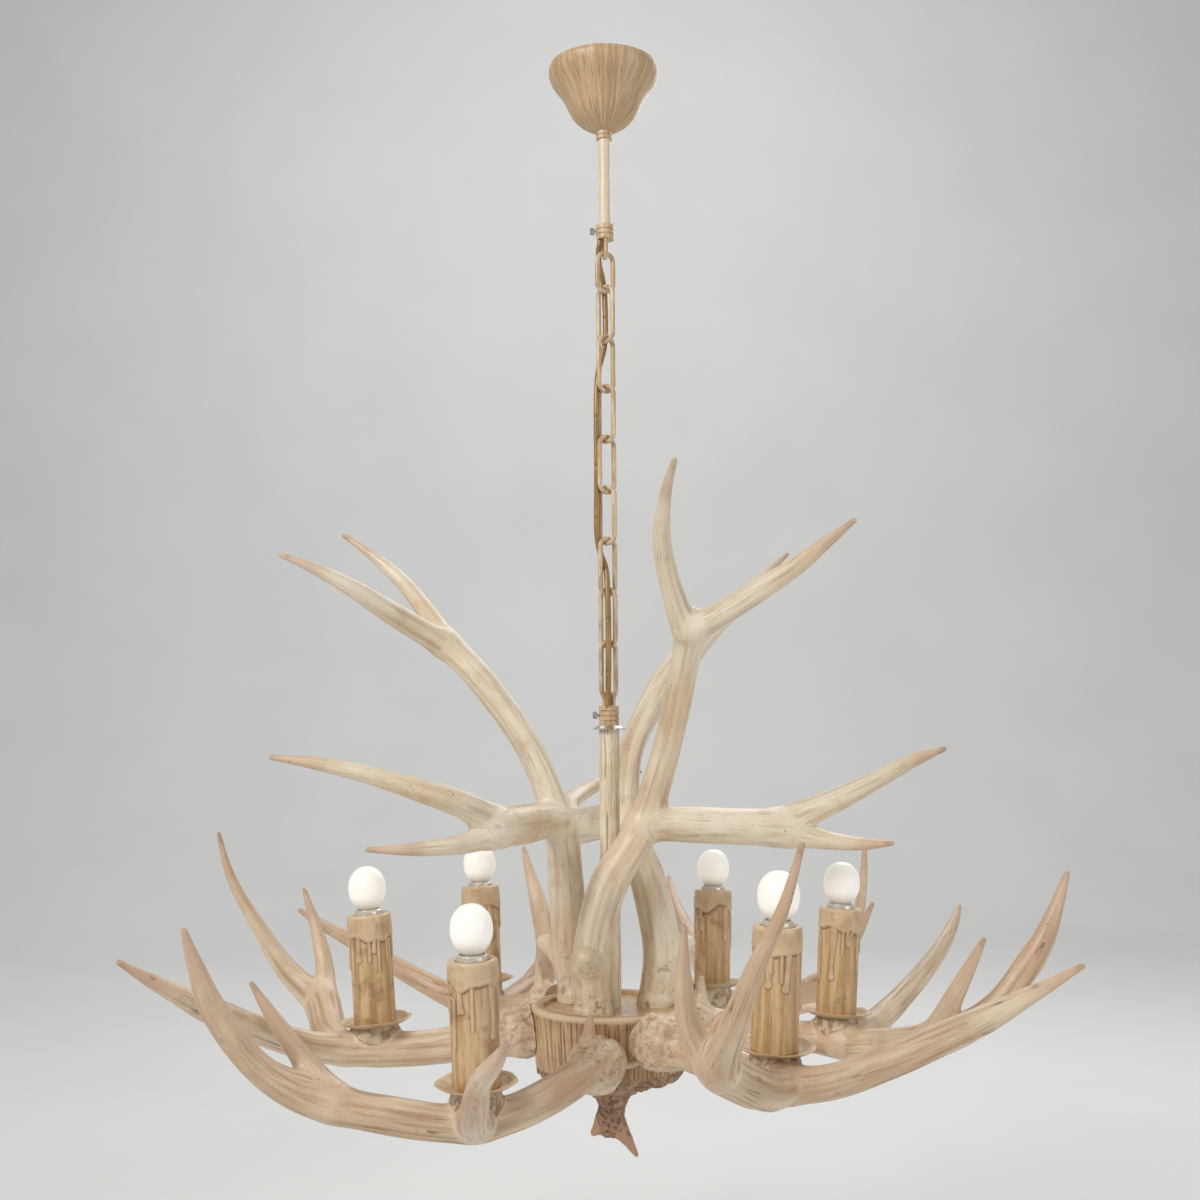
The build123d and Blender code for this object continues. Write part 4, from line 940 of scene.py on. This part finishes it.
def candle_skin(number):
    """One candle from the pan up: each ring's radius, height, wax, top and painted shade marks."""
    dice = np.random.RandomState(50 + number)
    angle = angles(168)
    heights = np.linspace(pan_thick, candle_top - 3, 142)
    heights = np.concatenate([heights, np.linspace(candle_top - 2.6, candle_top, 7)])
    th, hh = np.meshgrid(angle, heights)
    cos, sin = np.cos(th), np.sin(th)

    def ripple(around, level, seed):
        return lattice(stacked(cos * around, sin * around, level), seed + number).reshape(hh.shape)

    # painted shade: a thin dark line beside a run or arch of wax, below the cap's edge
    def shade_beside(gap):
        return np.exp(-((gap / 0.6) ** 2)) * (hh < edge_h)

    body = 20.1 - 0.5 * (hh - pan_thick) / 100
    body += 0.22 * ripple(5, hh / 45, 300)
    body += 0.12 * ripple(11, hh / 30, 310)
    # the wax cap, its edge, then runs of wax and arches of wax below it
    edge_h = candle_top - 21 - 6 * ripple(1.6, 3, 320)
    thick = 1.35 * smooth(hh - edge_h, -1.2, 1.6)
    thick += 0.5 * np.exp(-((hh - edge_h - 1.6) / 1.7) ** 2)
    # painted shade: a thin dark line just under the wax cap's edge
    cap_edge_shade = np.exp(-((hh - edge_h + 1.2) / 1.1) ** 2)
    # outline holds the painted shade lines round the runs and arches of wax
    drip, outline = np.zeros(hh.shape), np.zeros(hh.shape)
    for k in range(6):
        centre = 2 * math.pi * (k + dice.uniform(-0.3, 0.3)) / 6
        width = dice.uniform(1.6, 2.6)
        stop = candle_top - dice.uniform(34, 72)
        wander = 1.2 * np.sin(hh / dice.uniform(9, 15) + dice.uniform(0, 6))
        arc = round_arc(th, centre) + wander
        swell = width * (1 + 0.45 * np.exp(-((hh - stop - 2.2) / 2.6) ** 2))
        gap = np.where(hh > stop + 1.5, np.abs(arc), np.hypot(arc, hh - stop - 1.5))
        run = 1.5 * np.sqrt(np.clip(1 - (gap / swell) ** 2, 0, 1)) * (hh < candle_top - 8)
        drip = np.maximum(drip, run)
        outline = np.maximum(outline, shade_beside(gap - swell - 0.5))
    for k in range(5):
        centre = 2 * math.pi * (k + dice.uniform(0.1, 0.6)) / 5
        half = dice.uniform(3.8, 6.2)
        top = candle_top - dice.uniform(16, 38)
        legs = (top - dice.uniform(8, 26), top - dice.uniform(16, 40))
        arc = round_arc(th, centre)
        bow = np.abs(np.hypot(arc, np.maximum(hh - top, 0)) - half)
        bow = np.where(hh < np.where(arc < 0, legs[0], legs[1]), 9, bow)
        drip = np.maximum(drip, 1.15 * np.sqrt(np.clip(1 - (bow / 1.5) ** 2, 0, 1)))
        outline = np.maximum(outline, shade_beside(bow - 1.9))
    roundness = np.clip((hh - (candle_top - 3)) / 3, 0, 1)
    radius = body + np.maximum(thick, drip) + 0.35 * np.minimum(thick, drip)
    radius -= 2.2 * (1 - np.sqrt(1 - roundness**2 * 0.98))
    lift = 0.6 * ripple(2, 9, 330) * (hh > candle_top - 6)
    hz = np.minimum(hh + lift * smooth(hh, candle_top - 12, candle_top), candle_top)
    wax = np.clip(np.maximum(thick / 1.3, drip / 0.9), 0, 1)
    # the painted shade marks, kept off the runs of wax themselves
    shade = np.clip(np.maximum(cap_edge_shade, 0.8 * outline) * (1 - np.clip(drip, 0, 1)), 0, 1)
    rows = list(zip(radius, hz, wax, smooth(hh, candle_top - 5, candle_top), shade))
    # over the top, down the bore and across the foot
    for r, h, waxed in (
        (17.5, candle_top - 0.2, 1), (15.6, candle_top - 0.6, 1), (candle_bore_r, candle_top - 1.4, 1),
        (candle_bore_r, 90, 0), (candle_bore_r, 20, 0), (candle_bore_r, pan_thick, 0),
        (17.5, pan_thick, 0),
    ):
        rows.append((r, h, waxed, waxed, 0))
    return angle, rows


def lamp_ring(lamp, angle, radius, height):
    """A ring of points round a lamp's own leaning axis."""
    foot, out, across, lean = lamp[1:]
    flat = foot + (np.cos(angle) * radius)[:, None] * out + (np.sin(angle) * radius)[:, None] * across
    return flat + (0 * angle + height)[:, None] * lean


verts, faces, grains, marks = [], [], [], []
for number, lamp in enumerate(lamps):
    angle, rows = candle_skin(number)
    start = len(verts)
    for radius, h, wax, top, shade in rows:
        verts += list(lamp_ring(lamp, angle, radius, h))
        grains += list(stacked(np.cos(angle) * 18, np.sin(angle) * 18, h * 0.06 + 9 * number) * MM)
        marks += list(stacked(wax, top, shade + 0 * angle))
    faces += [tuple(i + start for i in f) for f in grid_faces(len(rows), len(angle), True)]
candles = closed_object("candles", verts, faces, grain=grains, marks=marks)
finish_piece(candles, candle_look(), "candle_sleeves", "fixture")

verts, faces, marks = [], [], []
angle = angles(120)
around = stacked(np.cos(angle) * 1.7, np.sin(angle) * 1.7, 0)
for number, lamp in enumerate(lamps):
    wavy = lattice(around, 500 + number)
    small = lattice(around * 2.6, 510 + number)
    start = len(verts)
    rows = 44
    for k, t in enumerate([*np.linspace(0, 1, 22), *np.linspace(1, 0, 22)]):
        # the first half runs out along one face of the pan, the second back along the other
        first = k < rows / 2
        edge_r = pan_r if first else pan_r - 0.7
        thick = 0 if first else pan_thick * (1 - 0.35 * t) * (0.75 if t == 1 else 1)
        lip = pan_lip + (0.4 if first else -0.2)
        rise = np.clip((t - 0.55) / 0.45, 0, 1) ** 1.7
        r = pan_bore_r + (edge_r - pan_bore_r) * t + (0.9 * wavy + 0.5 * small) * t**3
        verts += list(lamp_ring(lamp, angle, r, thick + (lip + 1.3 * wavy + 0.5 * small) * rise))
        # marks: the rim, for a painted highlight, and the underside, for painted shade
        marks += [(float(t > 0.9), float(first), 0)] * len(angle)
    faces += [tuple(i + start for i in f) for f in grid_faces(rows, len(angle), True)]
pans = closed_object("pans", verts, faces, marks=marks)
finish_piece(pans, pan_look(), "drip_pans", "fixture")


# ----- hub, root and column
def turned(name, outer, inner, columns, change):
    """A turned piece, its outer rings changed to a radius, a height, a groove and an edge mark."""
    angle = angles(columns)
    verts, marks, grains = [], [], []
    for k, (r, z) in enumerate([*outer, *inner]):
        radius, height, bed, edge = change(r, z, angle) if k < len(outer) else (r, z, 0, 0)
        verts += list(stacked(np.cos(angle) * radius, np.sin(angle) * radius, height))
        marks += list(stacked(bed, edge, 0 * angle))
        grains += list(stacked(np.cos(angle) * max(r, 8), np.sin(angle) * max(r, 8), z * 0.06) * MM)
    faces = grid_faces(len(outer) + len(inner), columns, True)
    return closed_object(name, verts, faces, marks=marks, grain=grains)


def cut_lines(r, z, angle, count, width, seed):
    """Thin upright cuts round a turned piece, each fading in and out along its height."""
    dice = np.random.RandomState(seed)
    places = 2 * math.pi * (np.arange(count) + dice.uniform(-0.38, 0.38, count)) / count
    widths = width * dice.uniform(0.7, 1.35, count)
    at = stacked(np.arange(count) * 3.7, z / 19, 0)
    strength = smooth(lattice(at, seed + 1), -0.55, 0.15) * dice.uniform(0.55, 1, count)
    wander = 0.9 * lattice(at * np.array([1, 0.8, 1]) + 40, seed + 2) / r
    arc = np.abs((angle[:, None] - places - wander + math.pi) % (2 * math.pi) - math.pi) * r
    return (strength * np.exp(-((arc / widths) ** 2))).max(1)


def hub_change(r, z, angle):
    around = stacked(np.cos(angle), np.sin(angle), z / 48)
    below_rim = smooth(hub_top_z - z, 3.5, 6.5)
    bed = cut_lines(r, z, angle, 118, 0.75, 601) * below_rim
    wave = 0.35 * lattice(around * np.array([15, 15, 2]), 603) * below_rim
    return r - 1.2 * bed - 0.45 * below_rim + wave - 0.15, z, bed, 1 - below_rim


outer = [
    (hub_bottom_r + hub_slope * (z - hub_bottom_z), z)
    for z in np.linspace(hub_bottom_z, hub_top_z - hub_edge_r, 64)
]
for a in np.radians(np.linspace(8, 90, 9)):
    r = hub_top_r - hub_edge_r + hub_edge_r * math.cos(a) - 0.1
    outer.append((r, hub_top_z - hub_edge_r + hub_edge_r * math.sin(a)))
inner = [
    (72, hub_top_z), (67.5, hub_top_z), (66, hub_top_z - 0.8), (65.5, hub_top_z - 2.2), (65.5, -958),
    (60.5, -958), (60.5, -961), (72, -961), (69.8, -985), (69.5, hub_bottom_z), (72, hub_bottom_z),
]
piece = turned("hub_drum", outer, inner, 760, hub_change)
finish_piece(piece, hub_bark, "hub_shell", "fixture")


def column_change(r, z, angle):
    around = stacked(np.cos(angle), np.sin(angle), z / 60)
    bed = cut_lines(r, z, angle, 15, 0.62, 611)
    wave = 0.22 * lattice(around * np.array([3, 3, 1.5]), 612)
    return r - 0.75 * bed - 0.25 + wave, z, bed * 0.9, 0


outer = [(column_r, z) for z in np.linspace(column_end_z, column_top_z, 190)]
inner = [(column_r - column_wall, column_top_z), (column_r - column_wall, column_end_z)]
piece = turned("column_bark_tube", outer, inner, 160, column_change)
finish_piece(piece, column_bark, "column_tube", "fixture")


def root_change(r, z, angle):
    spot = stacked(np.cos(angle) * r, np.sin(angle) * r, z)
    free = smooth(hub_bottom_z - z, 0, 3) * smooth(r, 10, 26)
    lump = 2.6 * lattice(spot / 11, 621) + 2.3 * np.abs(lattice(spot / 5.5, 622))
    lump = lump + lattice(spot / 2.8, 623)
    drop = 2.6 * lattice(spot / 9, 624) + 1.9 * lattice(spot / 4.4, 625)
    return r + lump * free * 0.8, z + drop * free - 0.4 * free, 0, 0


root_line = [
    (73.2, hub_bottom_z), (70.5, -1014), (65.5, -1018), (54, -1021.5), (42.5, -1025), (30, -1030),
    (22, -1035), (16, -1042), (13.6, root_bottom_z),
]
outer = [(r, z) for r, _, z, _ in dense([(r, 0, z, 0) for r, z in root_line], 1.1)]
inner = [(8, root_bottom_z - 0.2), (3.2, root_bottom_z), (3.2, -1012), (20, hub_bottom_z)]
piece = turned("root_clump_mesh", outer, inner, 420, root_change)
finish_piece(piece, root_look(), "hub_root", "fixture")


# ----- lamp cord
line_data = bpy.data.curves.new("cord_line", "CURVE")
line_data.dimensions = "3D"
line_data.resolution_u = 14
spline = line_data.splines.new("NURBS")
spline.points.add(len(cord_points) - 1)
for point, place in zip(spline.points, cord_points):
    point.co = (*np.array(place) * MM, 1)
spline.order_u = 3
spline.use_endpoint_u = True
line_object = linked("cord_line", line_data)
line_mesh = bpy.data.meshes.new_from_object(line_object)
cord_line = np.array([v.co for v in line_mesh.vertices]) / MM
bpy.data.objects.remove(line_object)
if cord_line[0, 2] < cord_line[-1, 2]:
    cord_line = cord_line[::-1]
cord = Limb(np.hstack([cord_line, np.full((len(cord_line), 1), cord_r)]), "cord", False)
middles = [(a + b) / 2 for a, b in zip(chain_pivots, chain_pivots[1:])]
cuts = [0] + [int(np.abs(cord_line[:, 2] - z).argmin()) for z in middles] + [len(cord_line) - 1]
sides, blend_half = 20, 0.010
for k in range(len(cuts) - 1):
    rings = cord.rings(sides, slice(cuts[k], cuts[k + 1] + 1))
    last = (len(rings) - 1) * sides
    caps = [tuple(range(sides))[::-1], tuple(range(last, last + sides))]
    faces = grid_faces(len(rings), sides) + caps
    piece = closed_object(f"cord_span_{k + 1}", rings.reshape(-1, 3), faces)
    piece.data.materials.append(amber)
    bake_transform(piece)
    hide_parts("lamp_cord")


# ----- CAD pieces that stay, with their finishes
finishes = {
    canopy_paint: ["canopy"],
    stem_paint: ["stem_tube"],
    collar_paint: ["canopy_collar", "stem_collar", "column_collar"],
    chain_paint: ["stem_eye", "column_loop"] + [f"chain_link_{k}" for k in range(1, 10)],
    steel: (
        "mounting_bar hanger_nipple hanger_nuts stem_set_screw column_set_screw column_nut upper_antler_bolts"
        " finial_stud arm_pipes pipe_nuts candle_rods candle_nuts"
    ).split(),
    silver: ["column_washer"],
    plate_paint: ["hub_top_plate"],
    terminal: ["terminal_block", "wire_connector"],
    ring_silver: ["socket_rings", "lamp_sockets"],
    insulation: ["arm_wires"],
    bulb_glass: [f"bulb_{lamp[0]}" for lamp in lamps],
}
for material, names in finishes.items():
    for name in names:
        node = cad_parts[name]
        node.data.materials.clear()
        node.data.materials.append(material)


# ----- floor and backdrop
stage_paint = Look("pale_floor", Roughness=0.9, Specular_IOR_Level=0.2)
cloud = stage_paint.step(stage_paint.noise(stage_paint.object_point(), 2, 2), 0.3, 0.7)
tone = stage_paint.mix(cloud, (228, 228, 226), (225, 225, 223))
stage_paint.feed(stage_paint.shader.inputs["Base Color"], tone)

floor_z, front_y, back_y, bend_r, wall_z, half_width = -1.42, -3.4, 5.2, 1.8, 4.5, 7
sweep = [(front_y, floor_z), (back_y - bend_r, floor_z)]
for a in np.radians(np.linspace(0, 90, 13)[1:]):
    sweep.append((back_y - bend_r + bend_r * math.sin(a), floor_z + bend_r - bend_r * math.cos(a)))
sweep.append((back_y, wall_z))
floor = new_object(
    "floor", [(x / MM, y / MM, z / MM) for y, z in sweep for x in (-half_width, half_width)],
    [(2 * i, 2 * i + 1, 2 * i + 3, 2 * i + 2) for i in range(len(sweep) - 1)],
)
floor.data.materials.append(stage_paint.material)
